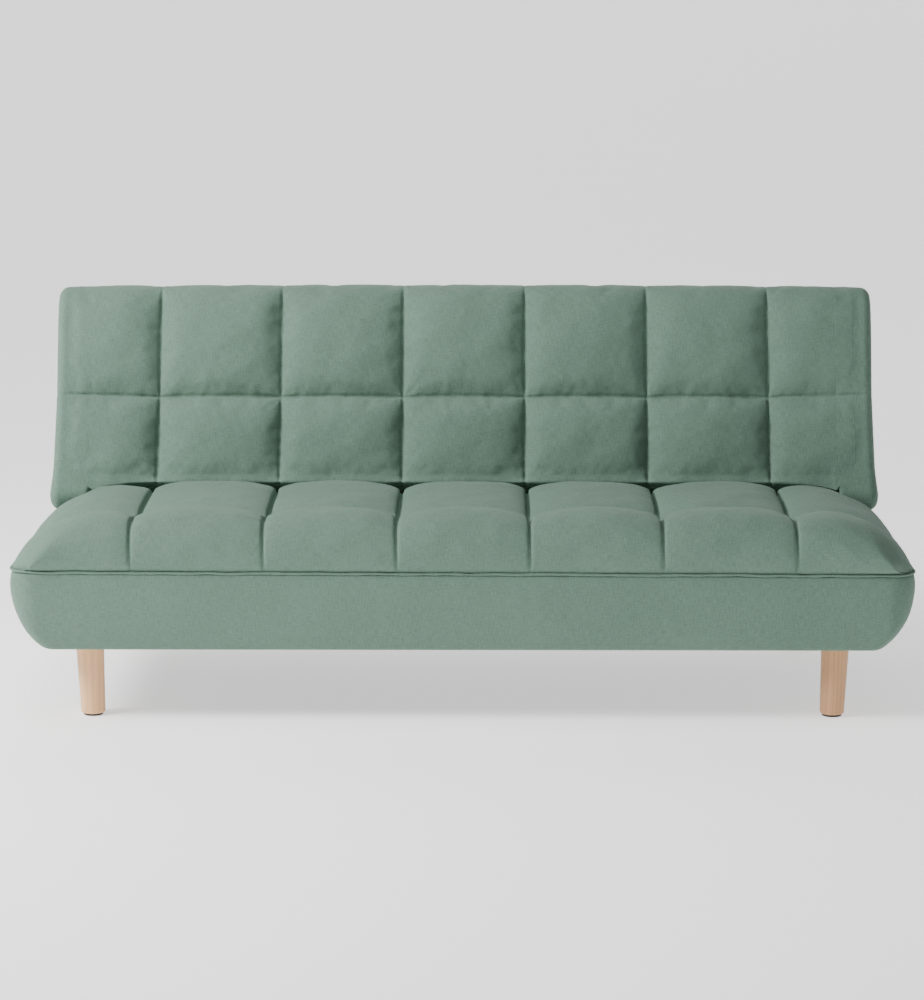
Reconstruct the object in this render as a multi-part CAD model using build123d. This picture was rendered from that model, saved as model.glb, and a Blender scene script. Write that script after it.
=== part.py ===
from build123d import *
import math
import os

# Armless click-clack sofa bed. Millimetres, +Z up, the front faces -Y, and the
# origin is on the floor under the middle of the overall box.
# Depths are given behind the front face of the base, and yd() turns them into Y.

# ---- overall ----
CENTRE_DEPTH = 375.6
SEAT_TOP = 420.0
SEAT_NOSE = 18.0
BORDER_LOW = 150.0
BORDER_TOP = 302.8
REAR_DECK_TOP = 274.0
BASE_DEPTH = 752.0
REAR_BORDER = 8.0
LEDGE_DEPTH = 508.0
FORM_HALF = 911.0
PLAN_CORNER_R = 46.0
# One bulging end seen from the front: (x, z) control points below and above the widest line.
END_LOW = [(840, 150), (873, 173), (909.5, 222), (909.5, 279)]
END_HIGH = [(909.5, 279), (909.5, 330), (852, 420), (745, 420)]

# ---- base frame ----
RAIL_BOARD = 22.0
RAIL_LOW = 160.0
RAIL_TOP = 300.0
REAR_RAIL_TOP = 270.0
FRONT_BOARD = 14.0
BASE_HALF = 818.0
CROSS_DEPTH = 478.0
CROSS_LOW = 216.0
BRACE_WIDTH = 40.0
BRACE_LOW = 193.0
BRACE_TOP = 215.0
BRACES = (-400.0, 0.0, 400.0)

# ---- legs ----
LEG_X = 754.0
FRONT_LEG_DEPTH = 66.0
REAR_LEG_DEPTH = 700.0
LEG_TOP_R = 28.5
LEG_FOOT_R = 24.5
LEG_FOOT_ROUND = 3.0
LEG_LEAN = 4.5
GLIDE_HEIGHT = 5.0
GLIDE_R = 20.0
GLIDE_ROUND = 1.2
GLIDE_SPIKE = 12.0
PLATE_STEEL = 3.0
PLATE_LONG = 76.0
PLATE_WIDE = 58.0
PLATE_EDGE_X = 6.0
PLATE_EDGE_D = 7.0
BLOCK_SIZE = 88.0
BLOCK_HEIGHT = 62.0
HANGER_R = 4.0
HANGER_LOW = 115.0
HANGER_TOP = 205.0
SCREW_HEAD_R = 4.0
SCREW_HEAD_HEIGHT = 2.0
SCREW_SHANK_R = 2.0
SCREW_LENGTH = 22.0
DUST_THICK = 1.2
DUST_NOTCH_X = 44.0
DUST_NOTCH_D = 36.0

# ---- seat suspension and cushion ----
SPRING_WIRE_R = 1.8
SPRING_COUNT = 9
SPRING_SPACING = 175.0
SPRING_HALF_WIDTH = 22.0
SPRING_PITCH = 22.0
SPRING_START = 22.0
SPRING_BENDS = 20
CLIP_HALF = 9.0
CLIP_DEPTH = 5.0
FELT_LOW = 304.4
FELT_THICK = 4.0
FOAM_TOP = 370.0
COVER_LOW = 309.2
FELT_HALF = 796.0
FOAM_FRONT = 18.0
FOAM_REAR = 488.0
FOAM_NOSE_R = 24.0
SEAT_FOAM_HALF = 815.0
FOAM_HALF_AT_HINGE = 800.0
HINGE_POCKET_FRONT = 432.0
HINGE_POCKET_HALF = 840.0
SEAT_END_REAR = 466.0
CUSHION_REAR = 510.7
WELT_LOW = 303.0
WELT_TOP = 309.0
WELT_PROUD = 2.0
WELT_THICK = 5.0
WELT_HALF = 904.0

# ---- hinge line and back ----
RAKE = 22.0
HINGE_BELOW_FACE = 40.0
SHOULDER_ANGLE = 38.0
HINGE_DEPTH = 511.0
HINGE_HEIGHT = 380.0
BACK_HALF = 883.0
EAR_R = 38.0
EAR_GAP = 2.0
BACK_THICK = 135.0
BACK_TOP = 470.0
BACK_CORNER_R = 18.0
BACK_FRAME_LOW = 30.0
BACK_FRAME_TOP = 446.0
BACK_RAIL_HEIGHT = 50.0
MID_RAIL_LOW = 305.0
BACK_FRAME_FRONT = 66.0
BACK_FRAME_REAR = 90.0
SLAT_THICK = 8.0
SLAT_WIDTH = 60.0
SLATS = 9
SLAT_SPACING = 185.0
BACK_SIDE_OUTER = 823.0
FACE_FILL = 40.0
BACK_FOAM_HALF = 840.0
FOAM_LOW = 20.0
FOAM_UP = 436.0
CAVITY_UP = BACK_FRAME_TOP + 2
PANEL_FRONT = 90.2
HINGE_POCKET_HEIGHT = 230.0

# ---- click-clack hinge ----
SEAT_PLATE_X = 818.0
SEAT_PLATE_THICK = 3.5
ARM_X = 823.0
ARM_THICK = 3.5
PIVOT_R = 6.0
PIVOT_HEAD_R = 11.0
PIVOT_HEAD_HEIGHT = 4.5
PIVOT_START = 806.0
PIVOT_NUT_R = 10.5
PIVOT_NUT_HEIGHT = 8.0
WASHER_THICK = 1.5
SIDE_PLAY = 0.3
RUNNING = 0.05
EYE_R = 15.0
RATCHET_R = 40.0
RATCHET_ROOT_R = 34.0
RATCHET_TEETH = 6
TOOTH_STEP = 14.0
TOOTH_SPREAD = 4.5
RATCHET_STEP = 11.0
PAWL_DEPTH = 470.0
PAWL_HEIGHT = 318.0
PAWL_PIN_R = 4.0
PAWL_BOSS_R = 9.0
PAWL_GAP = 0.6
PAWL_HEAD_R = 7.0
COIL_R = 5.5
COIL_WIRE_R = 0.8
COIL_LENGTH = 5.7
COIL_PITCH = 1.9
BOLT_R = 4.0
BOLT_HEAD_R = 7.0
BOLT_HEAD_HEIGHT = 4.0
BOLT_NUT_HEIGHT = 6.0
# Seat plate bolts as (depth, z), back arm bolts as (v, u) on the raked back.
SEAT_BOLTS = [(450, 222), (450, 272), (468, 247)]
ARM_BOLTS = [(78, 100), (78, 140), (78, 184)]

# ---- rear support ----
SUPPORT_X = 600.0
SUPPORT_UP = 330.0
SUPPORT_BEHIND = 110.0
SUPPORT_TUBE = 20.0
SUPPORT_PIN_R = 5.0
SUPPORT_FOOT = 8.0
BRACKET_STEEL = 3.0
BRACKET_HEIGHT = 60.0
BRACKET_GAP = 22.0
BRACKET_FLANGE = 14.0
EAR_HALF = 12.0
SUPPORT_WALL = 2.0
CROSSBAR_TUBE = 16.0
CROSSBAR_WALL = 1.5
CROSSBAR_UP = 46.0

# ---- crease gusset ----
GUSSET_WIDE = 1560.0
GUSSET_THICK = 1.2
GUSSET_TALL = 30.0
GUSSET_REACH = 30.0

os.makedirs("parts", exist_ok=True)


def yd(depth):
    """Y of a depth behind the front face of the base."""
    return depth - CENTRE_DEPTH


def save(node, *shapes):
    """Write one node, a group when it has several equal pieces."""
    solids = [s for shape in shapes for s in shape.solids()]
    whole = solids[0] if len(solids) == 1 else Compound(children=solids)
    whole.label = node
    export_step(whole, f"parts/{node}.step")


def block(x0, x1, d0, d1, z0, z1):
    """A box between two corners, with depths along Y."""
    corner = Pos((x0 + x1) / 2, yd((d0 + d1) / 2), (z0 + z1) / 2)
    return corner * Box(x1 - x0, d1 - d0, z1 - z0)


def bar(x0, x1, v0, v1, u0, u1):
    """A box in the frame of the upright back: v rearwards, u up, from the hinge line."""
    return Pos((x0 + x1) / 2, (v0 + v1) / 2, (u0 + u1) / 2) * Box(x1 - x0, v1 - v0, u1 - u0)


def on_back(shape):
    """Put a shape made on the upright back where the raked back stands."""
    return Pos(0, yd(HINGE_DEPTH), HINGE_HEIGHT) * Rot(-RAKE, 0, 0) * shape


def mirrored(shape):
    """The same piece for the left side."""
    return mirror(shape, about=Plane.YZ)


def rod_x(x0, x1, d, z, r):
    """A round bar along X at a depth and a height."""
    return Pos((x0 + x1) / 2, yd(d), z) * Rot(0, 90, 0) * Cylinder(r, x1 - x0)


def rod_z(x, d, z0, z1, r):
    """A round upright bar."""
    return Pos(x, yd(d), (z0 + z1) / 2) * Cylinder(r, z1 - z0)


def side_prism(x0, x1, edges):
    """Extrude a closed outline in the YZ plane from x0 to x1."""
    face = make_face(edges)
    return Pos(x0, 0, 0) * extrude(face, x1 - x0, dir=(1, 0, 0))


def outline(points):
    """A closed outline of straight lines through (y, z) points."""
    return Polyline(*[(0, y, z) for y, z in points], close=True)


# ---- padded outer form of the seat and base ----
def end_curve(sign):
    """One bulging end of the seat, seen from the front, from the bottom to the top."""
    return [Bezier(*[(sign * x, 0, z) for x, z in points]) for points in (END_LOW, END_HIGH)]


def outer_form():
    """The soft outside of base and seat: boat-shaped from the front, rounded in plan."""
    right = end_curve(1)
    left = end_curve(-1)
    low_x, low_z = END_LOW[0]
    high_x, high_z = END_HIGH[-1]
    low = Line((-low_x, 0, low_z), (low_x, 0, low_z))
    high = Line((-high_x, 0, high_z), (high_x, 0, high_z))
    rear = BASE_DEPTH + REAR_BORDER
    plan_length = rear + SEAT_NOSE
    front = extrude(make_face([low, *right, high, *left]), plan_length + 10, dir=(0, 1, 0))
    front = Pos(0, yd(-SEAT_NOSE - 2), 0) * front
    plan = RectangleRounded(2 * FORM_HALF, plan_length, PLAN_CORNER_R)
    plan = Pos(0, yd(rear - plan_length / 2), 100) * extrude(plan, 400)
    return front & plan


FORM = outer_form()

# ---- base frame ----
save("base_front_rail", block(-BASE_HALF + RAIL_BOARD, BASE_HALF - RAIL_BOARD, FRONT_BOARD,
                              FRONT_BOARD + RAIL_BOARD, RAIL_LOW, RAIL_TOP))
save("base_rear_rail", block(-BASE_HALF + RAIL_BOARD, BASE_HALF - RAIL_BOARD, BASE_DEPTH - RAIL_BOARD,
                             BASE_DEPTH, RAIL_LOW, REAR_RAIL_TOP))
save("seat_rear_crossrail", block(-BASE_HALF + RAIL_BOARD, BASE_HALF - RAIL_BOARD, CROSS_DEPTH,
                                  CROSS_DEPTH + RAIL_BOARD, CROSS_LOW, RAIL_TOP))

side_rail_outline = outline([
    (yd(FRONT_BOARD), RAIL_LOW),
    (yd(BASE_DEPTH), RAIL_LOW),
    (yd(BASE_DEPTH), REAR_RAIL_TOP),
    (yd(LEDGE_DEPTH), REAR_RAIL_TOP),
    (yd(LEDGE_DEPTH), RAIL_TOP),
    (yd(FRONT_BOARD), RAIL_TOP),
])
right_rail = side_prism(BASE_HALF - RAIL_BOARD, BASE_HALF, side_rail_outline)
for bolt_d, bolt_z in SEAT_BOLTS:
    right_rail -= rod_x(BASE_HALF - 30, BASE_HALF + 12, bolt_d, bolt_z, BOLT_R + RUNNING)
save("base_right_rail", right_rail)
save("base_left_rail", mirrored(right_rail))

braces = []
for x in BRACES:
    brace = block(x - BRACE_WIDTH / 2, x + BRACE_WIDTH / 2, FRONT_BOARD + RAIL_BOARD,
                  BASE_DEPTH - RAIL_BOARD, BRACE_LOW, BRACE_TOP)
    braces.append(brace)
save("base_braces", *braces)
save("base_rear_deck", block(-BASE_HALF, BASE_HALF, LEDGE_DEPTH + 3, BASE_DEPTH, REAR_RAIL_TOP,
                             REAR_DECK_TOP))

# ---- legs, their plates, blocks and screws ----
LEG_SPOTS = {
    "front_left": (-LEG_X, FRONT_LEG_DEPTH),
    "front_right": (LEG_X, FRONT_LEG_DEPTH),
    "rear_left": (-LEG_X, REAR_LEG_DEPTH),
    "rear_right": (LEG_X, REAR_LEG_DEPTH),
}
leg_height = RAIL_LOW - GLIDE_HEIGHT
blocks = []
plates = []
hangers = []
screws = []
glides = []
for name, (x, d) in LEG_SPOTS.items():
    foot_x = x - math.copysign(LEG_LEAN, x)
    leg = loft([Pos(foot_x, yd(d), GLIDE_HEIGHT) * Circle(LEG_FOOT_R), Pos(x, yd(d), RAIL_LOW) * Circle(LEG_TOP_R)])
    leg = fillet(leg.edges().group_by(Axis.Z)[0], LEG_FOOT_ROUND)
    leg -= rod_z(x, d, HANGER_LOW, RAIL_LOW + 1, HANGER_R + RUNNING)
    leg -= rod_z(foot_x, d, GLIDE_HEIGHT - 1, GLIDE_HEIGHT + GLIDE_SPIKE, SCREW_SHANK_R + RUNNING)
    save(f"{name}_leg", leg)
    inner = (BASE_HALF - RAIL_BOARD) * math.copysign(1, x)
    x0, x1 = sorted((inner, inner - math.copysign(BLOCK_SIZE, x)))
    if d < BASE_DEPTH / 2:
        d0 = FRONT_BOARD + RAIL_BOARD
    else:
        d0 = BASE_DEPTH - RAIL_BOARD - BLOCK_SIZE
    corner = block(x0, x1, d0, d0 + BLOCK_SIZE, RAIL_LOW + PLATE_STEEL,
                   RAIL_LOW + PLATE_STEEL + BLOCK_HEIGHT)
    corner -= rod_z(x, d, RAIL_LOW, HANGER_TOP + 1, HANGER_R + RUNNING)
    plate = block(x - PLATE_LONG / 2, x + PLATE_LONG / 2, d - PLATE_WIDE / 2, d + PLATE_WIDE / 2,
                  RAIL_LOW, RAIL_LOW + PLATE_STEEL)
    plate -= rod_z(x, d, RAIL_LOW - 1, RAIL_LOW + PLATE_STEEL + 1, HANGER_R + 0.2)
    for sx in (-1, 1):
        for sd in (-1, 1):
            px = x + sx * (PLATE_LONG / 2 - PLATE_EDGE_X)
            pd = d + sd * (PLATE_WIDE / 2 - PLATE_EDGE_D)
            plate -= rod_z(px, pd, RAIL_LOW - 1, RAIL_LOW + PLATE_STEEL + 1, SCREW_SHANK_R + 0.2)
            corner -= rod_z(px, pd, RAIL_LOW, RAIL_LOW + SCREW_LENGTH, SCREW_SHANK_R)
            screw = rod_z(px, pd, RAIL_LOW - SCREW_HEAD_HEIGHT, RAIL_LOW, SCREW_HEAD_R)
            screws.append(screw + rod_z(px, pd, RAIL_LOW, RAIL_LOW + SCREW_LENGTH, SCREW_SHANK_R))
    blocks.append(corner)
    plates.append(plate)
    hangers.append(rod_z(x, d, HANGER_LOW, HANGER_TOP, HANGER_R))
    pad = rod_z(foot_x, d, 0, GLIDE_HEIGHT, GLIDE_R)
    pad = fillet(pad.edges().group_by(Axis.Z)[0], GLIDE_ROUND)
    glides.append(pad + rod_z(foot_x, d, GLIDE_HEIGHT, GLIDE_HEIGHT + GLIDE_SPIKE, SCREW_SHANK_R))
save("corner_blocks", *blocks)
save("leg_plates", *plates)
save("leg_hanger_bolts", *hangers)
save("leg_plate_screws", *screws)
save("leg_glides", *glides)

# ---- dust cover under the base, notched round the legs ----
dust_top = RAIL_LOW - 0.2
dust = block(-BASE_HALF + 4, BASE_HALF - 4, FRONT_BOARD + 3, BASE_DEPTH - 4, dust_top - DUST_THICK, dust_top)
for sx in (-1, 1):
    x0, x1 = sorted((sx * (LEG_X - DUST_NOTCH_X), sx * (BASE_HALF + 2)))
    dust -= block(x0, x1, 0, FRONT_LEG_DEPTH + DUST_NOTCH_D, RAIL_LOW - 5, RAIL_LOW + 5)
    dust -= block(x0, x1, REAR_LEG_DEPTH - DUST_NOTCH_D, BASE_DEPTH + 5, RAIL_LOW - 5, RAIL_LOW + 5)
save("dust_cover", dust)


# ---- seat springs ----
def zigzag_spring(x):
    """One flat zigzag spring: straight runs across, joined by half circles."""
    z = RAIL_TOP + SPRING_WIRE_R + 0.3
    r = SPRING_PITCH / 2
    straight = SPRING_HALF_WIDTH - r
    parts = []
    d = SPRING_START
    side = 1
    for _ in range(SPRING_BENDS):
        start = (x - side * straight, yd(d), z)
        end = (x + side * straight, yd(d), z)
        after = (x + side * straight, yd(d + SPRING_PITCH), z)
        outermost = (x + side * (straight + r), yd(d + r), z)
        parts.append(Line(start, end))
        parts.append(ThreePointArc(end, outermost, after))
        d += SPRING_PITCH
        side = -side
    last = (x - side * straight, yd(d), z)
    parts.append(Line(last, (x + side * straight, yd(d), z)))
    path = Wire(parts)
    section = Plane(origin=path @ 0, z_dir=path % 0) * Circle(SPRING_WIRE_R)
    return sweep(section, path=path)


SPRING_XS = [(i - (SPRING_COUNT - 1) / 2) * SPRING_SPACING for i in range(SPRING_COUNT)]
base_spring = zigzag_spring(0)
save("seat_springs", *[Pos(x, 0, 0) * base_spring for x in SPRING_XS])

spring_end = SPRING_START + SPRING_PITCH * SPRING_BENDS
clips = []
for x in SPRING_XS:
    for d in (SPRING_START, spring_end):
        clip = block(x - CLIP_HALF, x + CLIP_HALF, d - CLIP_DEPTH, d + CLIP_DEPTH, RAIL_TOP, FELT_LOW - 0.2)
        clip -= rod_x(x - CLIP_HALF - 1, x + CLIP_HALF + 1, d, RAIL_TOP + SPRING_WIRE_R + 0.3,
                      SPRING_WIRE_R + 0.1)
        clips.append(clip)
save("spring_clips", *clips)

# ---- seat cushion ----
save("seat_felt_pad", block(-FELT_HALF, FELT_HALF, FOAM_FRONT, FOAM_REAR - 2, FELT_LOW, FELT_LOW + FELT_THICK))
foam = block(-SEAT_FOAM_HALF, SEAT_FOAM_HALF, FOAM_FRONT, FOAM_REAR, COVER_LOW, FOAM_TOP)
for sx in (-1, 1):
    x0, x1 = sorted((sx * FOAM_HALF_AT_HINGE, sx * (SEAT_FOAM_HALF + 1)))
    foam -= block(x0, x1, HINGE_POCKET_FRONT - 2, 500, 300, 420)
foam = fillet(foam.edges().filter_by(Axis.X).group_by(Axis.Z)[-1].group_by(Axis.Y)[0], FOAM_NOSE_R)
save("seat_foam", foam)

shoulder = HINGE_BELOW_FACE * math.tan(math.radians(SHOULDER_ANGLE))
seat_side = [
    Bezier((0, yd(3), COVER_LOW), (0, yd(-34), 330), (0, yd(-20), SEAT_TOP), (0, yd(52), SEAT_TOP)),
    Polyline((0, yd(52), SEAT_TOP), (0, yd(HINGE_DEPTH - shoulder), SEAT_TOP),
             (0, yd(CUSHION_REAR), HINGE_HEIGHT + 0.4), (0, yd(CUSHION_REAR), COVER_LOW),
             (0, yd(3), COVER_LOW)),
]
seat_cover = side_prism(-910, 910, seat_side) & FORM
seat_cover -= block(-SEAT_FOAM_HALF, SEAT_FOAM_HALF, FOAM_FRONT, FOAM_REAR, 300, FOAM_TOP)
for sx in (-1, 1):
    x0, x1 = sorted((sx * FOAM_HALF_AT_HINGE, sx * HINGE_POCKET_HALF))
    seat_cover -= block(x0, x1, HINGE_POCKET_FRONT, FOAM_REAR, 300, FOAM_TOP)
    x0, x1 = sorted((sx * FOAM_HALF_AT_HINGE, sx * 910))
    seat_cover -= block(x0, x1, SEAT_END_REAR, 520, 300, 430)
save("seat_cover", seat_cover)

# ---- welt band between the cushion and the base border ----
welt_outer = RectangleRounded(2 * (WELT_HALF + WELT_PROUD), 2 * LEDGE_DEPTH, PLAN_CORNER_R)
welt_inner = RectangleRounded(2 * (WELT_HALF + WELT_PROUD - WELT_THICK), 2 * (LEDGE_DEPTH - WELT_THICK),
                              PLAN_CORNER_R - WELT_THICK)
welt = extrude(welt_outer - welt_inner, WELT_TOP - WELT_LOW)
welt = Pos(0, yd(LEDGE_DEPTH - WELT_PROUD), WELT_LOW) * welt
welt &= block(-950, 950, -50, LEDGE_DEPTH - WELT_PROUD, 290, 330)
save("seat_welt", welt)

# ---- padded borders round the base ----
border = FORM & block(-950, 950, 0, BASE_DEPTH + REAR_BORDER, BORDER_LOW - 5, BORDER_TOP)
border -= block(-950, 950, LEDGE_DEPTH, BASE_DEPTH + 20, REAR_DECK_TOP, 400)
save("base_front_border", border & block(-950, 950, -50, FRONT_BOARD, 100, 400))
save("base_rear_border", border & block(-950, 950, BASE_DEPTH, BASE_DEPTH + 30, 100, 400))
right_border = border & block(BASE_HALF, 950, FRONT_BOARD, BASE_DEPTH, 100, 400)
right_border -= block(BASE_HALF - 1, HINGE_POCKET_HALF, HINGE_POCKET_FRONT, LEDGE_DEPTH + 8, 200, 320)
save("base_right_border", right_border)
save("base_left_border", mirrored(right_border))


# ---- click-clack hinge, seat side ----

def plate_x(x, thick, *faces):
    """A flat plate square to X, from outlines drawn in the YZ plane."""
    whole = faces[0]
    for face in faces[1:]:
        whole = whole + face
    return Pos(x, 0, 0) * extrude(whole, thick, dir=(1, 0, 0))


def disc(d, z, r):
    """A round outline in the YZ plane."""
    return Pos(0, yd(d), z) * Rot(0, 90, 0) * Circle(r)


def poly(*points):
    """A straight-sided outline in the YZ plane through (depth, z) points."""
    return make_face(Polyline(*[(0, yd(d), z) for d, z in points], close=True))


through = (SEAT_PLATE_X - 8, ARM_X + ARM_THICK + 8)
seat_plate = plate_x(SEAT_PLATE_X, SEAT_PLATE_THICK, disc(HINGE_DEPTH, HINGE_HEIGHT, EYE_R),
                     poly((438, 206), (506, 206), (506, 300), (HINGE_DEPTH + EYE_R, HINGE_HEIGHT),
                          (HINGE_DEPTH - EYE_R, HINGE_HEIGHT), (456, 336), (438, 290)))
seat_plate -= rod_x(*through, HINGE_DEPTH, HINGE_HEIGHT, PIVOT_R + RUNNING)
seat_plate -= rod_x(*through, PAWL_DEPTH, PAWL_HEIGHT, PAWL_PIN_R)
for bolt_d, bolt_z in SEAT_BOLTS:
    seat_plate -= rod_x(*through, bolt_d, bolt_z, BOLT_R + RUNNING)
save("right_seat_plate", seat_plate)
save("left_seat_plate", mirrored(seat_plate))

seat_bolts = []
for bolt_d, bolt_z in SEAT_BOLTS:
    bolt = rod_x(BASE_HALF - RAIL_BOARD - BOLT_NUT_HEIGHT - 1, SEAT_PLATE_X + SEAT_PLATE_THICK,
                 bolt_d, bolt_z, BOLT_R)
    head = rod_x(SEAT_PLATE_X + SEAT_PLATE_THICK, SEAT_PLATE_X + SEAT_PLATE_THICK + BOLT_HEAD_HEIGHT,
                 bolt_d, bolt_z, BOLT_HEAD_R)
    nut = rod_x(BASE_HALF - RAIL_BOARD - BOLT_NUT_HEIGHT, BASE_HALF - RAIL_BOARD, bolt_d, bolt_z, BOLT_HEAD_R)
    one = bolt + head + nut
    seat_bolts.append(one)
    seat_bolts.append(mirrored(one))
save("seat_plate_bolts", *seat_bolts)

washer_x = SEAT_PLATE_X + SEAT_PLATE_THICK
arm_end = ARM_X + ARM_THICK
washers = []
head_x = arm_end + SIDE_PLAY + WASHER_THICK
for x0, x1 in ((washer_x, ARM_X - SIDE_PLAY), (arm_end + SIDE_PLAY, head_x)):
    washer = rod_x(x0, x1, HINGE_DEPTH, HINGE_HEIGHT, PIVOT_HEAD_R)
    washer -= rod_x(x0 - 1, x1 + 1, HINGE_DEPTH, HINGE_HEIGHT, PIVOT_R + RUNNING)
    washers.append(washer)
    washers.append(mirrored(washer))
save("pivot_washers", *washers)
pivot = rod_x(PIVOT_START, head_x, HINGE_DEPTH, HINGE_HEIGHT, PIVOT_R)
pivot += rod_x(head_x, head_x + PIVOT_HEAD_HEIGHT, HINGE_DEPTH, HINGE_HEIGHT, PIVOT_HEAD_R)
save("pivot_bolts", pivot, mirrored(pivot))
nut_outline = Pos(0, yd(HINGE_DEPTH), HINGE_HEIGHT) * Rot(0, 90, 0) * RegularPolygon(PIVOT_NUT_R, 6)
nut = Pos(SEAT_PLATE_X - PIVOT_NUT_HEIGHT, 0, 0) * extrude(nut_outline, PIVOT_NUT_HEIGHT, dir=(1, 0, 0))
nut -= rod_x(SEAT_PLATE_X - 18, SEAT_PLATE_X + 12, HINGE_DEPTH, HINGE_HEIGHT, PIVOT_R + RUNNING)
save("pivot_nuts", nut, mirrored(nut))

# ---- pawl, its pin and spring ----
reach_d = HINGE_DEPTH - PAWL_DEPTH
reach_z = HINGE_HEIGHT - PAWL_HEIGHT
reach = math.hypot(reach_d, reach_z)
along = (reach_d / reach, reach_z / reach)
tip_gap = reach - RATCHET_R - PAWL_GAP


def from_pawl(forward, across):
    """A (depth, z) point, measured from the pawl pin towards the hinge and across."""
    return (PAWL_DEPTH + along[0] * forward - along[1] * across,
            PAWL_HEIGHT + along[1] * forward + along[0] * across)


pawl = plate_x(ARM_X, ARM_THICK, disc(PAWL_DEPTH, PAWL_HEIGHT, PAWL_BOSS_R),
               poly(from_pawl(0, -8), from_pawl(tip_gap - 9, -7), from_pawl(tip_gap, -2.5),
                    from_pawl(tip_gap, 2.5), from_pawl(tip_gap - 9, 7), from_pawl(0, 8)),
               poly(from_pawl(-3, 6), from_pawl(3, 8), from_pawl(-13, 20), from_pawl(-19, 16)))
pawl -= rod_x(*through, PAWL_DEPTH, PAWL_HEIGHT, PAWL_PIN_R + RUNNING)
save("right_pawl", pawl)
save("left_pawl", mirrored(pawl))
pawl_pin = rod_x(SEAT_PLATE_X, arm_end + 0.6, PAWL_DEPTH, PAWL_HEIGHT, PAWL_PIN_R)
pawl_pin += rod_x(arm_end + 0.6, arm_end + 3, PAWL_DEPTH, PAWL_HEIGHT, PAWL_HEAD_R)
save("pawl_pins", pawl_pin, mirrored(pawl_pin))

coil_x0 = arm_end + 3.4
coil_path = Helix(pitch=COIL_PITCH, height=COIL_LENGTH, radius=COIL_R, center=(0, 0, 0), direction=(0, 0, 1))
coil = sweep(Plane(origin=coil_path @ 0, z_dir=coil_path % 0) * Circle(COIL_WIRE_R), path=coil_path)
pawl_spring = Pos(coil_x0 + COIL_WIRE_R + 0.1, yd(PAWL_DEPTH), PAWL_HEIGHT) * Rot(0, 90, 0) * coil
save("pawl_springs", pawl_spring, mirrored(pawl_spring))

# ---- click-clack hinge, back side ----
rake = math.radians(RAKE)


def back_point(v, u):
    """The (depth, z) of a point on the raked back: v rearwards and u up from the hinge."""
    return (HINGE_DEPTH + u * math.sin(rake) + v * math.cos(rake),
            HINGE_HEIGHT + u * math.cos(rake) - v * math.sin(rake))


arm = plate_x(ARM_X, ARM_THICK, disc(HINGE_DEPTH, HINGE_HEIGHT, EYE_R),
              poly(back_point(-20, 8), back_point(20, -8), back_point(66, 40), back_point(90, 44),
                   back_point(90, 200), back_point(66, 200), back_point(60, 100)))
sector_middle = math.degrees(math.atan2(-along[1], -along[0]))
ratchet = disc(HINGE_DEPTH, HINGE_HEIGHT, RATCHET_R)
keep = []
for step in range(-4, 5):
    angle = math.radians(sector_middle + step * RATCHET_STEP)
    keep.append((HINGE_DEPTH + 1.5 * RATCHET_R * math.cos(angle),
                 HINGE_HEIGHT + 1.5 * RATCHET_R * math.sin(angle)))
ratchet = ratchet & poly((HINGE_DEPTH, HINGE_HEIGHT), *keep)
for tooth in range(RATCHET_TEETH):
    angle = math.radians(sector_middle + (tooth - (RATCHET_TEETH - 1) / 2) * TOOTH_STEP)
    low = (HINGE_DEPTH + RATCHET_ROOT_R * math.cos(angle), HINGE_HEIGHT + RATCHET_ROOT_R * math.sin(angle))
    notch = [low]
    for turn in (-TOOTH_SPREAD, TOOTH_SPREAD):
        side = angle + math.radians(turn)
        notch.append((HINGE_DEPTH + 1.1 * RATCHET_R * math.cos(side),
                      HINGE_HEIGHT + 1.1 * RATCHET_R * math.sin(side)))
    ratchet = ratchet - poly(*notch)
arm += plate_x(ARM_X, ARM_THICK, ratchet)
arm -= rod_x(*through, HINGE_DEPTH, HINGE_HEIGHT, PIVOT_R + RUNNING)
arm_bolts = []
for v, u in ARM_BOLTS:
    bolt_d, bolt_z = back_point(v, u)
    arm -= rod_x(*through, bolt_d, bolt_z, BOLT_R + RUNNING)
    one = rod_x(BACK_SIDE_OUTER - RAIL_BOARD - 8, arm_end, bolt_d, bolt_z, BOLT_R)
    one += rod_x(arm_end, arm_end + BOLT_HEAD_HEIGHT, bolt_d, bolt_z, BOLT_HEAD_R)
    one += rod_x(BACK_SIDE_OUTER - RAIL_BOARD - BOLT_NUT_HEIGHT, BACK_SIDE_OUTER - RAIL_BOARD, bolt_d, bolt_z,
                 BOLT_HEAD_R)
    arm_bolts.append(one)
    arm_bolts.append(mirrored(one))
save("right_back_arm", arm)
save("left_back_arm", mirrored(arm))
save("back_arm_bolts", *arm_bolts)

# ---- back frame ----
inner_half = BACK_SIDE_OUTER - RAIL_BOARD
frame_v = (BACK_FRAME_FRONT, BACK_FRAME_REAR)
save("back_bottom_rail", on_back(bar(-inner_half, inner_half, *frame_v, BACK_FRAME_LOW,
                                     BACK_FRAME_LOW + BACK_RAIL_HEIGHT)))
middle_rail = bar(-inner_half, inner_half, *frame_v, MID_RAIL_LOW, MID_RAIL_LOW + BACK_RAIL_HEIGHT)
save("back_top_rail", on_back(bar(-inner_half, inner_half, *frame_v, BACK_FRAME_TOP - BACK_RAIL_HEIGHT,
                                  BACK_FRAME_TOP)))
back_side = on_back(bar(inner_half, BACK_SIDE_OUTER, *frame_v, BACK_FRAME_LOW, BACK_FRAME_TOP))
for v, u in ARM_BOLTS:
    bolt_d, bolt_z = back_point(v, u)
    back_side -= rod_x(inner_half - 10, BACK_SIDE_OUTER + 10, bolt_d, bolt_z, BOLT_R + RUNNING)
save("back_right_rail", back_side)
save("back_left_rail", mirrored(back_side))
slats = []
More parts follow.
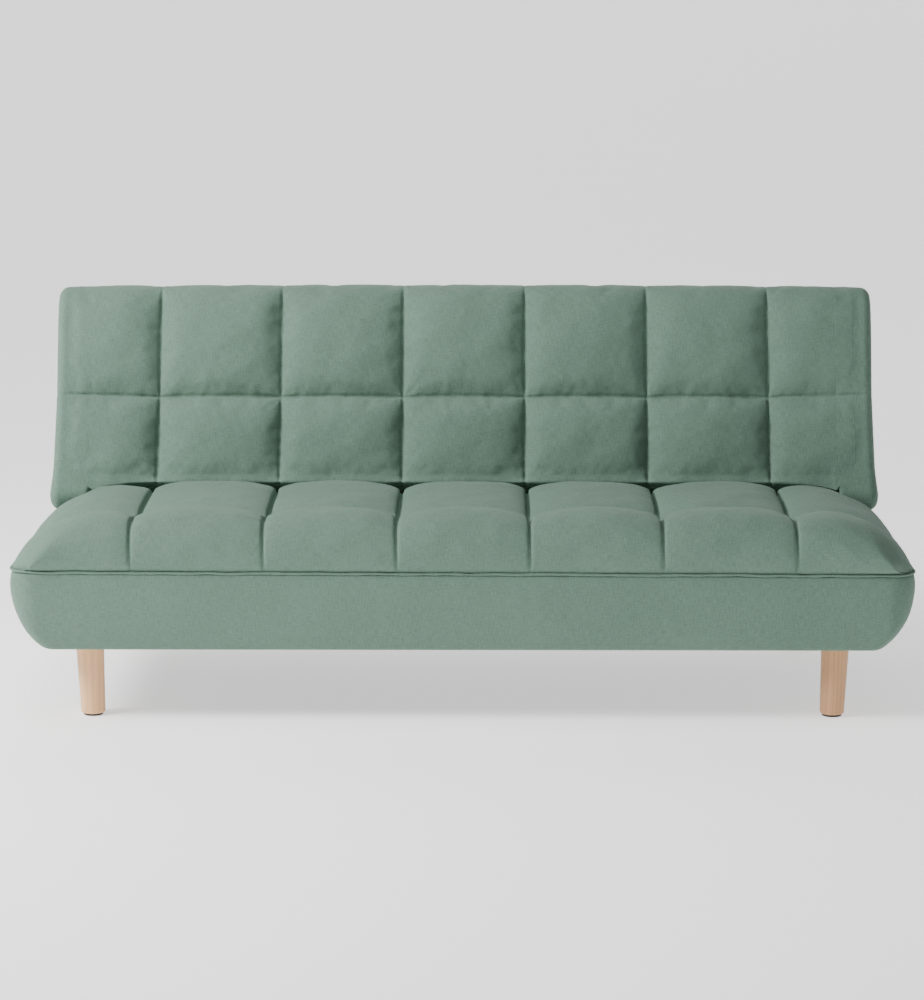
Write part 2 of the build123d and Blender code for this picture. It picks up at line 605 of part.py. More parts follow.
for i in range(SLATS):
    x = (i - (SLATS - 1) / 2) * SLAT_SPACING
    slats.append(on_back(bar(x - SLAT_WIDTH / 2, x + SLAT_WIDTH / 2, BACK_FRAME_FRONT - SLAT_THICK,
                             BACK_FRAME_FRONT, BACK_FRAME_LOW + 4, BACK_FRAME_TOP - 4)))
save("back_slats", *slats)

# ---- back cushion ----
face_v = -HINGE_BELOW_FACE
rear_v = BACK_THICK - HINGE_BELOW_FACE
foam_v = face_v + FACE_FILL
back_foam = bar(-BACK_FOAM_HALF, BACK_FOAM_HALF, foam_v, BACK_FRAME_FRONT - SLAT_THICK, FOAM_LOW, FOAM_UP)
for sx in (-1, 1):
    x0, x1 = sorted((sx * FOAM_HALF_AT_HINGE, sx * (BACK_FOAM_HALF + 1)))
    back_foam -= bar(x0, x1, -60, 120, 0, HINGE_POCKET_HEIGHT)
save("back_foam", on_back(back_foam))

back_side_outline = [
    Polyline((0, PANEL_FRONT - 0.2, 0.3), (0, 0.3, 0.3), (0, face_v, shoulder), (0, face_v, BACK_TOP - 40)),
    Bezier((0, face_v, BACK_TOP - 40), (0, face_v, BACK_TOP - 12), (0, face_v + 14, BACK_TOP),
           (0, face_v + 44, BACK_TOP)),
    Polyline((0, face_v + 44, BACK_TOP), (0, PANEL_FRONT - 24, BACK_TOP), (0, PANEL_FRONT - 0.2, BACK_TOP - 13),
             (0, PANEL_FRONT - 0.2, 0.3)),
]
back_cover = side_prism(-BACK_HALF, BACK_HALF, back_side_outline)
front_view = Rectangle(2 * BACK_HALF, BACK_TOP)
front_view = fillet(front_view.vertices().group_by(Axis.Y)[-1], BACK_CORNER_R)
front_view = fillet(front_view.vertices().group_by(Axis.Y)[0], 10)
rounding = Pos(0, 200, BACK_TOP / 2) * Rot(90, 0, 0) * extrude(front_view, 400)
back_cover &= rounding
back_cover -= bar(-BACK_FOAM_HALF, BACK_FOAM_HALF, foam_v, 100, -20, CAVITY_UP)
ear = Pos((HINGE_POCKET_HALF + BACK_HALF - EAR_GAP) / 2, 0, 0) * Rot(0, 90, 0) * Cylinder(
    EAR_R, BACK_HALF - EAR_GAP - HINGE_POCKET_HALF)
for sx in (-1, 1):
    x0, x1 = sorted((sx * FOAM_HALF_AT_HINGE, sx * HINGE_POCKET_HALF))
    back_cover -= bar(x0, x1, -60, 120, -20, FOAM_LOW + 10)
back_cover += ear
back_cover += mirrored(ear)
save("back_cover", on_back(back_cover))

panel = bar(-BACK_HALF + 3, BACK_HALF - 3, PANEL_FRONT, rear_v, 3, BACK_TOP - 15)

# ---- rear support legs, which hang plumb from the back ----
pin_d, pin_z = back_point(SUPPORT_BEHIND, SUPPORT_UP)
flat_pin_z = HINGE_HEIGHT - SUPPORT_BEHIND
brackets = []
bracket_screws = []
support_pins = []
half_gap = BRACKET_GAP / 2
for sx in (-1, 1):
    x = sx * SUPPORT_X
    base = bar(x - half_gap - BRACKET_FLANGE, x + half_gap + BRACKET_FLANGE, rear_v, rear_v + BRACKET_STEEL,
               SUPPORT_UP - BRACKET_HEIGHT / 2, SUPPORT_UP + BRACKET_HEIGHT / 2)
    bracket = base
    for side in (-1, 1):
        e0, e1 = sorted((x + side * half_gap, x + side * (half_gap + BRACKET_STEEL)))
        ear = bar(e0, e1, rear_v + BRACKET_STEEL, SUPPORT_BEHIND + 9, SUPPORT_UP - EAR_HALF,
                  SUPPORT_UP + EAR_HALF)
        bracket += ear
        for up in (-22, 22):
            centre = Pos(x + side * (half_gap + 7), rear_v, SUPPORT_UP + up)
            bracket -= centre * Rot(90, 0, 0) * Cylinder(2.2, 12)
            shank = centre * Rot(-90, 0, 0) * (Pos(0, 0, -8) * Cylinder(2, 22))
            screw = shank + centre * Rot(-90, 0, 0) * (Pos(0, 0, 4) * Cylinder(4, 2))
            middle_rail -= shank
            panel -= shank
            bracket_screws.append(on_back(screw))
    bracket = on_back(bracket)
    bracket -= rod_x(x - 30, x + 30, pin_d, pin_z, SUPPORT_PIN_R + 0.02)
    brackets.append(bracket)
    pin = rod_x(x - half_gap - BRACKET_STEEL, x + half_gap + BRACKET_STEEL, pin_d, pin_z, SUPPORT_PIN_R)
    for side in (-1, 1):
        e0, e1 = sorted((x + side * (half_gap + BRACKET_STEEL), x + side * (half_gap + BRACKET_STEEL + 3)))
        pin += rod_x(e0, e1, pin_d, pin_z, 7.5)
    support_pins.append(pin)
save("back_middle_rail", on_back(middle_rail))
save("outside_back_panel", on_back(panel))
save("support_brackets", *brackets)
save("support_bracket_screws", *bracket_screws)
save("support_pins", *support_pins)

leg_low = pin_z - flat_pin_z + SUPPORT_FOOT
bar_z = leg_low + CROSSBAR_UP
bore = SUPPORT_TUBE / 2 - SUPPORT_WALL
for name, sx in (("left", -1), ("right", 1)):
    x = sx * SUPPORT_X
    tube = block(x - SUPPORT_TUBE / 2, x + SUPPORT_TUBE / 2, pin_d - SUPPORT_TUBE / 2,
                 pin_d + SUPPORT_TUBE / 2, leg_low, pin_z)
    tube += rod_x(x - SUPPORT_TUBE / 2, x + SUPPORT_TUBE / 2, pin_d, pin_z, SUPPORT_TUBE / 2)
    tube -= block(x - bore, x + bore, pin_d - bore, pin_d + bore, leg_low - 1, pin_z - 2 * bore)
    tube -= rod_x(x - 20, x + 20, pin_d, pin_z, SUPPORT_PIN_R + RUNNING)
    save(f"support_{name}_leg", tube)
cross_half = SUPPORT_X - SUPPORT_TUBE / 2
half = CROSSBAR_TUBE / 2
crossbar = block(-cross_half, cross_half, pin_d - half, pin_d + half, bar_z - half, bar_z + half)
half -= CROSSBAR_WALL
crossbar -= block(-cross_half - 1, cross_half + 1, pin_d - half, pin_d + half, bar_z - half, bar_z + half)
save("support_crossbar", crossbar)
feet = []
for sx in (-1, 1):
    x = sx * SUPPORT_X
    foot = block(x - 12, x + 12, pin_d - 12, pin_d + 12, leg_low - SUPPORT_FOOT + 1, leg_low)
    foot += block(x - 7.9, x + 7.9, pin_d - 7.9, pin_d + 7.9, leg_low, leg_low + 14)
    feet.append(foot)
save("support_feet", *feet)

# ---- cloth gusset folded in the crease between seat and back ----
gusset = Pos(0, yd(HINGE_DEPTH), HINGE_HEIGHT) * Rot((90 - RAKE) / 2, 0, 0) * (
    Pos(0, 0, GUSSET_REACH) * Box(GUSSET_WIDE, GUSSET_THICK, GUSSET_TALL))
save("crease_gusset", gusset)
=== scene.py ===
import bpy
import bmesh
import math
import numpy as np
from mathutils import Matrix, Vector


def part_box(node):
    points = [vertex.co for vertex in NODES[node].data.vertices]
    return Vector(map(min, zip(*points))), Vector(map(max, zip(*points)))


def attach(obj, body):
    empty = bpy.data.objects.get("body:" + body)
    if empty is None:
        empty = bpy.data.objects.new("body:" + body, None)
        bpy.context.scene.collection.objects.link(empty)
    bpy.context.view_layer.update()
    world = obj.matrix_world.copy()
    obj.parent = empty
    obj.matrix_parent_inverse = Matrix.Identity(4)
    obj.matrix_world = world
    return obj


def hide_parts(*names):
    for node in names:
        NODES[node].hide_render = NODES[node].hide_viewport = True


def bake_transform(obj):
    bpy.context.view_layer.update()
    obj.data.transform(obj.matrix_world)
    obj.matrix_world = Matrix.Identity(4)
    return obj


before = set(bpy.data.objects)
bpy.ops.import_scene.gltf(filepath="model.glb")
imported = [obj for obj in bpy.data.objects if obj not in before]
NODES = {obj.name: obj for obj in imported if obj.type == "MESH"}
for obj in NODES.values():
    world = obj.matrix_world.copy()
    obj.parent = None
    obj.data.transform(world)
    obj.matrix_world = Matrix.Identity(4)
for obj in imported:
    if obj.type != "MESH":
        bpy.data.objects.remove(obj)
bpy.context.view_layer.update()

# ---- where things are, in metres ----
FRONT_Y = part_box("base_front_rail")[0].y - 0.014  # the front face of the base
HINGE_D, HINGE_Z = 0.511, 0.380
RAKE = math.radians(22)
FACE_V = 0.040  # the hinge line lies this far behind the back's front face
SEAMS = (0.133, 0.399, 0.665)
BACK_SEAMS = (0.132, 0.3955, 0.6585)
SEAT_END = SEAMS[-1]  # the outermost seams of the seat and of the back
BACK_END_SEAM = BACK_SEAMS[-1]
SEAM_Z = 0.3052  # height of the welt seam
SEAM_TILT = 0.0028  # its fall per metre to the right
BAND = 0.0042  # height of the welt band
BASE_REAR = 0.760
CORNER_R = 0.055
ON_LINE = 1e-6  # nearer than this counts as on a line of the grid
CUSHION_STEP = 0.0092  # widest spacing of a cushion's grid


def smooth_noise(points, scale, seed, octaves=2):
    """Repeatable smooth noise in -1..1 at points (n, k), made of random sine waves."""
    r = np.random.default_rng(seed)
    total = np.zeros(len(points))
    size = 0.0
    for octave in range(octaves):
        for _ in range(7):
            direction = r.normal(size=points.shape[1])
            direction /= np.linalg.norm(direction)
            k = 2 * math.pi / scale * 2**octave * r.uniform(0.6, 1.4)
            total += np.sin(points @ direction * k + r.uniform(0, 6.28)) * 0.6**octave
            size += 0.5 * 0.6 ** (2 * octave)
    return total / math.sqrt(size) * 0.6


# ---- materials ----
class Nodes:
    """A small helper that builds one material's node tree."""

    def __init__(self, name):
        self.mat = bpy.data.materials.new(name)
        self.mat.use_nodes = True
        self.tree = self.mat.node_tree
        self.shader = self.tree.nodes["Principled BSDF"]

    def add(self, kind, **values):
        node = self.tree.nodes.new(kind)
        for key, value in values.items():
            if hasattr(node, key):
                setattr(node, key, value)
            else:
                node.inputs[key.replace("_", " ")].default_value = value
        return node

    def link(self, a, b):
        self.tree.links.new(a, b)

    def math(self, op, a, b=0.0, c=None):
        node = self.tree.nodes.new("ShaderNodeMath")
        node.operation = op
        for i, value in enumerate((a, b) if c is None else (a, b, c)):
            if isinstance(value, (int, float)):
                node.inputs[i].default_value = value
            else:
                self.link(value, node.inputs[i])
        return node.outputs[0]


def uniform(name, colour, roughness):
    """A plain finish of one colour."""
    n = Nodes(name)
    n.shader.inputs["Base Color"].default_value = (*colour, 1)
    n.shader.inputs["Roughness"].default_value = roughness
    return n.mat


def woven(name, colour, contrast=0.16, rib=0.0021, row=0.0017, depth=0.35, sheen=0.14):
    """Fine ribbed weave: warp ribs along V, weft rows across, heathered threads, painted shade in the rib
    grooves and a soft sheen.
    """
    n = Nodes(name)
    where = n.add("ShaderNodeUVMap", uv_map="cloth")
    split = n.add("ShaderNodeSeparateXYZ")
    n.link(where.outputs["UV"], split.inputs[0])
    u, v = split.outputs[0], split.outputs[1]
    wobble = n.add("ShaderNodeTexNoise", Scale=140.0, Detail=2.0)
    n.link(where.outputs["UV"], wobble.inputs["Vector"])
    shift = n.math("MULTIPLY", n.math("SUBTRACT", wobble.outputs[0], 0.5), 0.0011)
    ribs = n.math("SINE", n.math("MULTIPLY", n.math("ADD", u, shift), 2 * math.pi / rib))
    rows = n.math("SINE", n.math("MULTIPLY", n.math("ADD", v, shift), 2 * math.pi / row))
    cross = n.math("MULTIPLY", ribs, rows)
    height = n.math("ADD", n.math("MULTIPLY", ribs, 0.62), n.math("MULTIPLY", cross, 0.38))
    # Heathered threads: streaks stretched along the warp, and finer ones along the weft.
    stretch = n.add("ShaderNodeMapping")
    stretch.inputs["Scale"].default_value = (520, 62, 1)
    n.link(where.outputs["UV"], stretch.inputs["Vector"])
    warp = n.add("ShaderNodeTexNoise", Scale=1.0, Detail=3.0, Roughness=0.65)
    n.link(stretch.outputs[0], warp.inputs["Vector"])
    stretch_weft = n.add("ShaderNodeMapping")
    stretch_weft.inputs["Scale"].default_value = (70, 560, 1)
    n.link(where.outputs["UV"], stretch_weft.inputs["Vector"])
    weft = n.add("ShaderNodeTexNoise", Scale=1.0, Detail=2.0, Roughness=0.6)
    n.link(stretch_weft.outputs[0], weft.inputs["Vector"])
    cloud = n.add("ShaderNodeTexNoise", Scale=5.0, Detail=3.0)
    n.link(where.outputs["UV"], cloud.inputs["Vector"])
    tone = n.math("ADD", n.math("MULTIPLY", n.math("SUBTRACT", warp.outputs[0], 0.5), 1.5),
                  n.math("MULTIPLY", n.math("SUBTRACT", weft.outputs[0], 0.5), 1.1))
    tone = n.math("ADD", tone, n.math("MULTIPLY", n.math("SUBTRACT", cloud.outputs[0], 0.5), 0.35))
    # Rib crests lighter and the grooves between them darker: painted shade in the weave.
    tone = n.math("ADD", tone, n.math("MULTIPLY", height, 0.22))
    factor = n.math("ADD", 0.5, tone)
    ramp = n.add("ShaderNodeValToRGB")
    low, high = ramp.color_ramp.elements
    low.position, high.position = 0.0, 1.0
    low.color = (*[c * (1 - 1.5 * contrast) for c in colour], 1)
    high.color = (*[min(1, c * (1 + 1.7 * contrast)) for c in colour], 1)
    n.link(factor, ramp.inputs[0])
    n.link(ramp.outputs[0], n.shader.inputs["Base Color"])
    n.shader.inputs["Roughness"].default_value = 0.88
    n.shader.inputs["Specular IOR Level"].default_value = 0.25
    n.shader.inputs["Sheen Weight"].default_value = sheen
    n.shader.inputs["Sheen Roughness"].default_value = 0.55
    n.shader.inputs["Sheen Tint"].default_value = (0.82, 0.95, 0.88, 1)
    bump = n.add("ShaderNodeBump", Strength=depth, Distance=0.0006)
    n.link(n.math("ADD", height, n.math("MULTIPLY", tone, 0.6)), bump.inputs["Height"])
    n.link(bump.outputs[0], n.shader.inputs["Normal"])
    return n.mat


def wood(name, pale, dark, ring=26.0, seed=0.0, along="Z", roughness=0.42):
    """Wood cut along an axis: growth rings through the solid, fine pores and a satin finish."""
    n = Nodes(name)
    where = n.add("ShaderNodeTexCoord")
    turn = n.add("ShaderNodeMapping")
    turn.inputs["Location"].default_value = (seed, seed * 0.7, 0)
    if along == "X":
        turn.inputs["Rotation"].default_value = (0, math.pi / 2, 0)
    if along == "Y":
        turn.inputs["Rotation"].default_value = (math.pi / 2, 0, 0)
    n.link(where.outputs["Object"], turn.inputs["Vector"])
    long = n.add("ShaderNodeMapping")
    long.inputs["Scale"].default_value = (1, 1, 0.09)
    n.link(turn.outputs[0], long.inputs["Vector"])
    warp = n.add("ShaderNodeTexNoise", Scale=9.0, Detail=3.0)
    n.link(long.outputs[0], warp.inputs["Vector"])
    split = n.add("ShaderNodeSeparateXYZ")
    n.link(long.outputs[0], split.inputs[0])
    across = n.math("ADD", n.math("MULTIPLY", split.outputs[0], ring * 3.2),
                    n.math("MULTIPLY", split.outputs[1], ring * 1.7))
    rings = n.math("FRACT", n.math("ADD", across, n.math("MULTIPLY", warp.outputs[0], 3.4)))
    grain = n.math("POWER", rings, 2.2)
    pores_map = n.add("ShaderNodeMapping")
    pores_map.inputs["Scale"].default_value = (900, 900, 22)
    n.link(turn.outputs[0], pores_map.inputs["Vector"])
    pores = n.add("ShaderNodeTexNoise", Scale=1.0, Detail=2.0)
    n.link(pores_map.outputs[0], pores.inputs["Vector"])
    factor = n.math("ADD", n.math("MULTIPLY", grain, 0.55),
                    n.math("MULTIPLY", n.math("SUBTRACT", pores.outputs[0], 0.4), 0.7))
    ramp = n.add("ShaderNodeValToRGB")
    ramp.color_ramp.elements[0].color = (*pale, 1)
    ramp.color_ramp.elements[1].color = (*dark, 1)
    n.link(factor, ramp.inputs[0])
    n.link(ramp.outputs[0], n.shader.inputs["Base Color"])
    n.shader.inputs["Roughness"].default_value = roughness
    bump = n.add("ShaderNodeBump", Strength=0.25, Distance=0.0004)
    n.link(factor, bump.inputs["Height"])
    n.link(bump.outputs[0], n.shader.inputs["Normal"])
    return n.mat


def metal(name, colour, roughness):
    """Plated or drawn steel with faint uneven brushing."""
    n = Nodes(name)
    where = n.add("ShaderNodeTexCoord")
    speck = n.add("ShaderNodeTexNoise", Scale=180.0, Detail=3.0)
    n.link(where.outputs["Object"], speck.inputs["Vector"])
    ramp = n.add("ShaderNodeValToRGB")
    ramp.color_ramp.elements[0].color = (*[c * 0.82 for c in colour], 1)
    ramp.color_ramp.elements[1].color = (*[min(1, c * 1.1) for c in colour], 1)
    n.link(speck.outputs[0], ramp.inputs[0])
    n.link(ramp.outputs[0], n.shader.inputs["Base Color"])
    n.shader.inputs["Metallic"].default_value = 1.0
    rough = n.math("ADD", roughness - 0.08, n.math("MULTIPLY", speck.outputs[0], 0.16))
    n.link(rough, n.shader.inputs["Roughness"])
    return n.mat


def porous(name, colour, scale, depth):
    """Foam, felt or non-woven cloth: mottled, with a fine uneven surface."""
    n = Nodes(name)
    where = n.add("ShaderNodeTexCoord")
    cells = n.add("ShaderNodeTexVoronoi", Scale=scale)
    n.link(where.outputs["Object"], cells.inputs["Vector"])
    cloud = n.add("ShaderNodeTexNoise", Scale=scale / 12, Detail=4.0)
    n.link(where.outputs["Object"], cloud.inputs["Vector"])
    mix = n.math("ADD", n.math("MULTIPLY", cells.outputs["Distance"], 0.5),
                 n.math("MULTIPLY", cloud.outputs[0], 0.6))
    ramp = n.add("ShaderNodeValToRGB")
    ramp.color_ramp.elements[0].color = (*[c * 0.72 for c in colour], 1)
    ramp.color_ramp.elements[1].color = (*[min(1, c * 1.12) for c in colour], 1)
    n.link(mix, ramp.inputs[0])
    n.link(ramp.outputs[0], n.shader.inputs["Base Color"])
    n.shader.inputs["Roughness"].default_value = 0.95
    bump = n.add("ShaderNodeBump", Strength=depth, Distance=0.001)
    n.link(mix, bump.inputs["Height"])
    n.link(bump.outputs[0], n.shader.inputs["Normal"])
    return n.mat


SAGE = (0.132, 0.214, 0.163)
FABRIC = woven("sage_weave", SAGE)
# The crease cloth is the same sage weave darkened to 0.62: painted shade in the crease between seat and back.
FABRIC_PAINTED_SHADE = woven("sage_weave_painted_shade", tuple(c * 0.62 for c in SAGE), contrast=0.12)
# One beech for all legs: the left legs are painted lighter (painted light) and the right legs darker (painted
# shade), as if lit by the key lamp on the left.
LEG_PAINTED_LIT = wood("beech_painted_lit", (0.86, 0.50, 0.25), (0.66, 0.37, 0.18), ring=22, seed=0.31)
LEG_PAINTED_SHADE = wood("beech_painted_shade", (0.66, 0.36, 0.17), (0.46, 0.23, 0.105), ring=30, seed=0.83)
PINE_PALE, PINE_DARK = (0.72, 0.52, 0.31), (0.52, 0.32, 0.15)
PINE = wood("sawn_pine", PINE_PALE, PINE_DARK, ring=18, seed=0.1, along="X", roughness=0.7)
PINE_Y = wood("sawn_pine_y", PINE_PALE, PINE_DARK, ring=18, seed=0.4, along="Y", roughness=0.7)
ZINC = metal("zinc_plate", (0.62, 0.63, 0.65), 0.36)
SPRING = metal("spring_wire", (0.20, 0.20, 0.22), 0.42)
FOAM = porous("foam", (0.82, 0.76, 0.56), 700.0, 0.5)
FELT = porous("felt", (0.36, 0.35, 0.34), 420.0, 0.7)
BLACK_CLOTH = porous("black_nonwoven", (0.018, 0.018, 0.019), 500.0, 0.4)
BLACK_PAINT = uniform("black_powder_coat", (0.022, 0.022, 0.024), 0.5)
BLACK_PLASTIC = uniform("black_plastic", (0.02, 0.02, 0.02), 0.55)


# ---- grids ----
def stations(knots, step, fine=0.0036, grow=1.45):
    """Positions from the first knot to the last, closer together near every knot."""
    out = [knots[0]]
    for a, b in zip(knots[:-1], knots[1:]):
        half = (b - a) / 2
        side = []
        x, s = 0.0, fine
        while x + s < half - 0.35 * step:
            x += s
            side.append(x)
            s = min(step, s * grow)
        out += [a + v for v in side] + [(a + b) / 2] + [b - v for v in reversed(side)] + [b]
    return np.array(out)


def bezier(points, t):
    """A cubic curve through numpy parameter t."""
    p0, p1, p2, p3 = (np.array(p, float) for p in points)
    t = np.asarray(t, float)[..., None]
    return (1 - t) ** 3 * p0 + 3 * (1 - t) ** 2 * t * p1 + 3 * (1 - t) * t * t * p2 + t**3 * p3


class Path:
    """A planar line through many points, read by its length."""

    def __init__(self, points):
        self.points = np.array(points, float)
        step = np.linalg.norm(np.diff(self.points, axis=0), axis=1)
        self.length_at = np.concatenate([[0], np.cumsum(step)])
        self.length = self.length_at[-1]

    def at(self, s):
        return np.stack([np.interp(s, self.length_at, self.points[:, k])
                         for k in range(self.points.shape[1])], axis=-1)


def grid_normals(p):
    """Unit normals of a grid of points (n, m, 3)."""
    du = np.gradient(p, axis=0)
    dv = np.gradient(p, axis=1)
    n = np.cross(du, dv)
    return n / np.maximum(np.linalg.norm(n, axis=-1, keepdims=True), 1e-12)


def mesh_of(name, verts, faces, uvs, material):
    """A mesh object from arrays, with one UV pair per vertex in metres of cloth."""
    me = bpy.data.meshes.new(name)
    me.from_pydata([tuple(v) for v in verts], [], [tuple(int(i) for i in f) for f in faces])
    layer = me.uv_layers.new(name="cloth")
    index = np.empty(len(me.loops), int)
    me.loops.foreach_get("vertex_index", index)
    layer.data.foreach_set("uv", np.asarray(uvs, np.float32)[index].ravel())
    me.polygons.foreach_set("use_smooth", [True] * len(me.polygons))
    me.materials.append(material)
    obj = bpy.data.objects.new(name, me)
    bpy.context.scene.collection.objects.link(obj)
    return obj


def grid_faces(n, m, flip=False, wrap=False):
    """Quads of a grid of n by m vertices; wrap joins the last vertex of each row to its first."""
    index = np.arange(n * m).reshape(n, m)
    if wrap:
        index = np.concatenate([index, index[:, :1]], axis=1)
    quads = [index[:-1, :-1], index[1:, :-1], index[1:, 1:], index[:-1, 1:]]
    if flip:
        quads = quads[::-1]
    return np.stack(quads, -1).reshape(-1, 4)


def coords(me):
    """The places of a mesh's vertices."""
    co = np.empty(len(me.vertices) * 3)
    me.vertices.foreach_get("co", co)
    return co.reshape(-1, 3)


def vertex_uvs(me):
    """Each vertex's cloth coordinates."""
    index = np.empty(len(me.loops), int)
    me.loops.foreach_get("vertex_index", index)
    uv = np.empty(len(me.loops) * 2, np.float32)
    me.uv_layers["cloth"].data.foreach_get("uv", uv)
    out = np.zeros((len(me.vertices), 2))
    out[index] = uv.reshape(-1, 2)
    return out


SWELL_PRESSURE = 3.0
SWELL_FRAMES = 18


def swell(obj, pinned, grow, cap):
    """Cloth pressure swells what lies between the pinned seams, and the shape is kept.

    The cloth is larger than its drawn form by the share grow, and moves by cap at most.
    """
    me = obj.data
    rest = coords(me)
    group = obj.vertex_groups.new(name="seams")
    group.add([int(i) for i in np.flatnonzero(pinned)], 1.0, "REPLACE")
    mod = obj.modifiers.new("swell", "CLOTH")
    st = mod.settings
    st.quality = 5
    st.mass = 0.25
    st.air_damping = 2.0
    st.tension_stiffness = 18
    st.compression_stiffness = 14
    st.shear_stiffness = 6
    st.bending_stiffness = 0.35
    st.tension_damping = 12
    st.compression_damping = 12
    st.vertex_group_mass = "seams"
    st.use_pressure = True
    st.uniform_pressure_force = SWELL_PRESSURE
    st.shrink_min = -grow
    st.effector_weights.gravity = 0
    mod.collision_settings.use_collision = False
    mod.point_cache.frame_start = 1
    mod.point_cache.frame_end = SWELL_FRAMES
    scene = bpy.context.scene
    for number in range(1, SWELL_FRAMES + 1):
        scene.frame_set(number)
    graph = bpy.context.evaluated_depsgraph_get()
    moved = coords(obj.evaluated_get(graph).to_mesh())
    obj.evaluated_get(graph).to_mesh_clear()
    obj.modifiers.remove(mod)
    scene.frame_set(1)
    obj.vertex_groups.clear()
    step = moved - rest
    length = np.linalg.norm(step, axis=1, keepdims=True)
    step *= np.minimum(1, cap / np.maximum(length, 1e-9))
    step[~np.isfinite(step).all(1)] = 0
    me.vertices.foreach_set("co", (rest + step).ravel())
    me.update()


def subdivide(obj):
    """One smooth subdivision, kept."""
    mod = obj.modifiers.new("fine", "SUBSURF")
    mod.levels = mod.render_levels = 1
    mod.uv_smooth = "NONE"
    graph = bpy.context.evaluated_depsgraph_get()
    fine = bpy.data.meshes.new_from_object(obj.evaluated_get(graph))
    obj.modifiers.remove(mod)
    old = obj.data
    obj.data = fine
    fine.name = obj.name
    bpy.data.meshes.remove(old)


def close_holes(obj):
    """Caps every open rim, so the piece is one closed solid."""
    bm = bmesh.new()
    bm.from_mesh(obj.data)
    rim = [e for e in bm.edges if e.is_boundary]
    if rim:
        bmesh.ops.holes_fill(bm, edges=rim, sides=0)
    bmesh.ops.triangulate(bm, faces=[f for f in bm.faces if len(f.verts) > 4])
    bmesh.ops.recalc_face_normals(bm, faces=bm.faces)
    bm.to_mesh(obj.data)
    bm.free()
    obj.data.update()


def vertex_normals(me):
    """The outward direction at every vertex."""
    n = np.empty(len(me.vertices) * 3, np.float32)
    me.vertex_normals.foreach_get("vector", n)
    return n.reshape(-1, 3).astype(float)


# ---- tufted cushions ----
def dome(a, power):
    """Height of a stuffed cell across its width, 0 at both seams."""
    return np.sqrt(np.clip(1 - np.abs(2 * a - 1) ** power, 0, 1))


def cell(x, knots):
    """How far x lies across its cell, 0 to 1, and the number of the cell."""
    k = np.clip(np.searchsorted(knots, x, side="right") - 1, 0, len(knots) - 2)
    a = (x - np.asarray(knots)[k]) / (np.asarray(knots)[k + 1] - np.asarray(knots)[k])
    return np.clip(a, 0, 1), k


def ramp(x, a, b):
    """Smooth step from 0 at a to 1 at b."""
    t = np.clip((x - a) / (b - a), 0, 1)
    return t * t * (3 - 2 * t)


def seam_distance(x, knots):
    """How far each position is from the nearest seam."""
    return np.min(np.abs(x[:, None] - np.asarray(knots)[None, :]), axis=1)


def pucker(obj, knots_u, knots_v, v_top, depth, seed, fade, gathers=()):
    """Tight creases along the seams, small puckers beside them and folds fanning from the crossings."""
    me = obj.data
    uv = vertex_uvs(me)
    n = vertex_normals(me)
    u, v = uv[:, 0], uv[:, 1]
    keep = fade(u, v)
    inside = (v < v_top + 0.002).astype(float) * keep
    du = seam_distance(u, knots_u[1:-1])
    dv = seam_distance(v, knots_v[1:-1])
    move = -depth * np.maximum(np.exp(-((du / 0.0030) ** 2)), np.exp(-((dv / 0.0030) ** 2))) * inside
    # Puckers: ripples that run square to a seam and die away from it.
    along_u = smooth_noise(np.stack([v, u * 0.15], 1), 0.024, seed)
    along_v = smooth_noise(np.stack([u, v * 0.15], 1), 0.022, seed + 1)
    move += 0.00060 * along_u * np.exp(-du / 0.012) * (1 - np.exp(-du / 0.004)) * inside
    move += 0.00070 * along_v * np.exp(-dv / 0.013) * (1 - np.exp(-dv / 0.004)) * inside
    # Folds that fan out of each crossing.
    r = np.random.default_rng(seed + 2)
    for ku in knots_u[1:-1]:
        for kv in knots_v[1:-1]:
            x, y = u - ku, v - kv
            dist = np.hypot(x, y)
            angle = np.arctan2(y, x)
            for _ in range(5):
                at = r.uniform(-math.pi, math.pi)
                wide = r.uniform(0.12, 0.24)
                size = r.uniform(-0.0020, 0.0010)
                reach = r.uniform(0.020, 0.042)
                gap = np.angle(np.exp(1j * (angle - at)))
                near = np.exp(-((np.maximum(dist - 0.014, 0) / reach) ** 2))
                near = near * (1 - np.exp(-((dist / 0.010) ** 2)))
                move += size * np.exp(-((gap / wide) ** 2)) * near * inside
    # Broad unevenness of the filling.
    move += 0.0013 * smooth_noise(np.stack([u, v], 1), 0.17, seed + 3) * keep
    move += 0.00030 * smooth_noise(np.stack([u, v], 1), 0.040, seed + 4) * keep
    # Gathers: short pleats that rise from a rim between u0 and u1.
    for u0, u1, v0, size, pitch, reach in gathers:
        mask = 1 / (1 + np.exp(-(u - u0) / 0.012)) / (1 + np.exp((u - u1) / 0.012))
        lean = u + 0.35 * (v - v0) * np.sin(u * 40)
        wave = np.sin(lean * 2 * math.pi / pitch + 1.4 * np.sin(u * 55)) ** 3
        rise = np.maximum(v - v0, 0)
        move += size * wave * mask * np.exp(-rise / reach) * (1 - np.exp(-rise / 0.006))
    co = coords(me) + n * move[:, None]
    me.vertices.foreach_set("co", co.ravel())
    me.update()


def world_y(d):
    """The row frame's y of a place d behind the front face of the base."""
    return FRONT_Y + d


# The seat's outermost skin: across one end, and from the front seam over to the hinge.
SEAT_END_X = 0.9070
END_START = 0.640  # where the ends start to fall
SEAT_CREST = 0.4260
END_DROP = SEAT_CREST - SEAM_Z
END_CURVE = Path(bezier([(END_START, 0.0), (0.790, 0.0), (0.876, 0.040), (SEAT_END_X, END_DROP)],
                        np.linspace(0, 1, 200)))
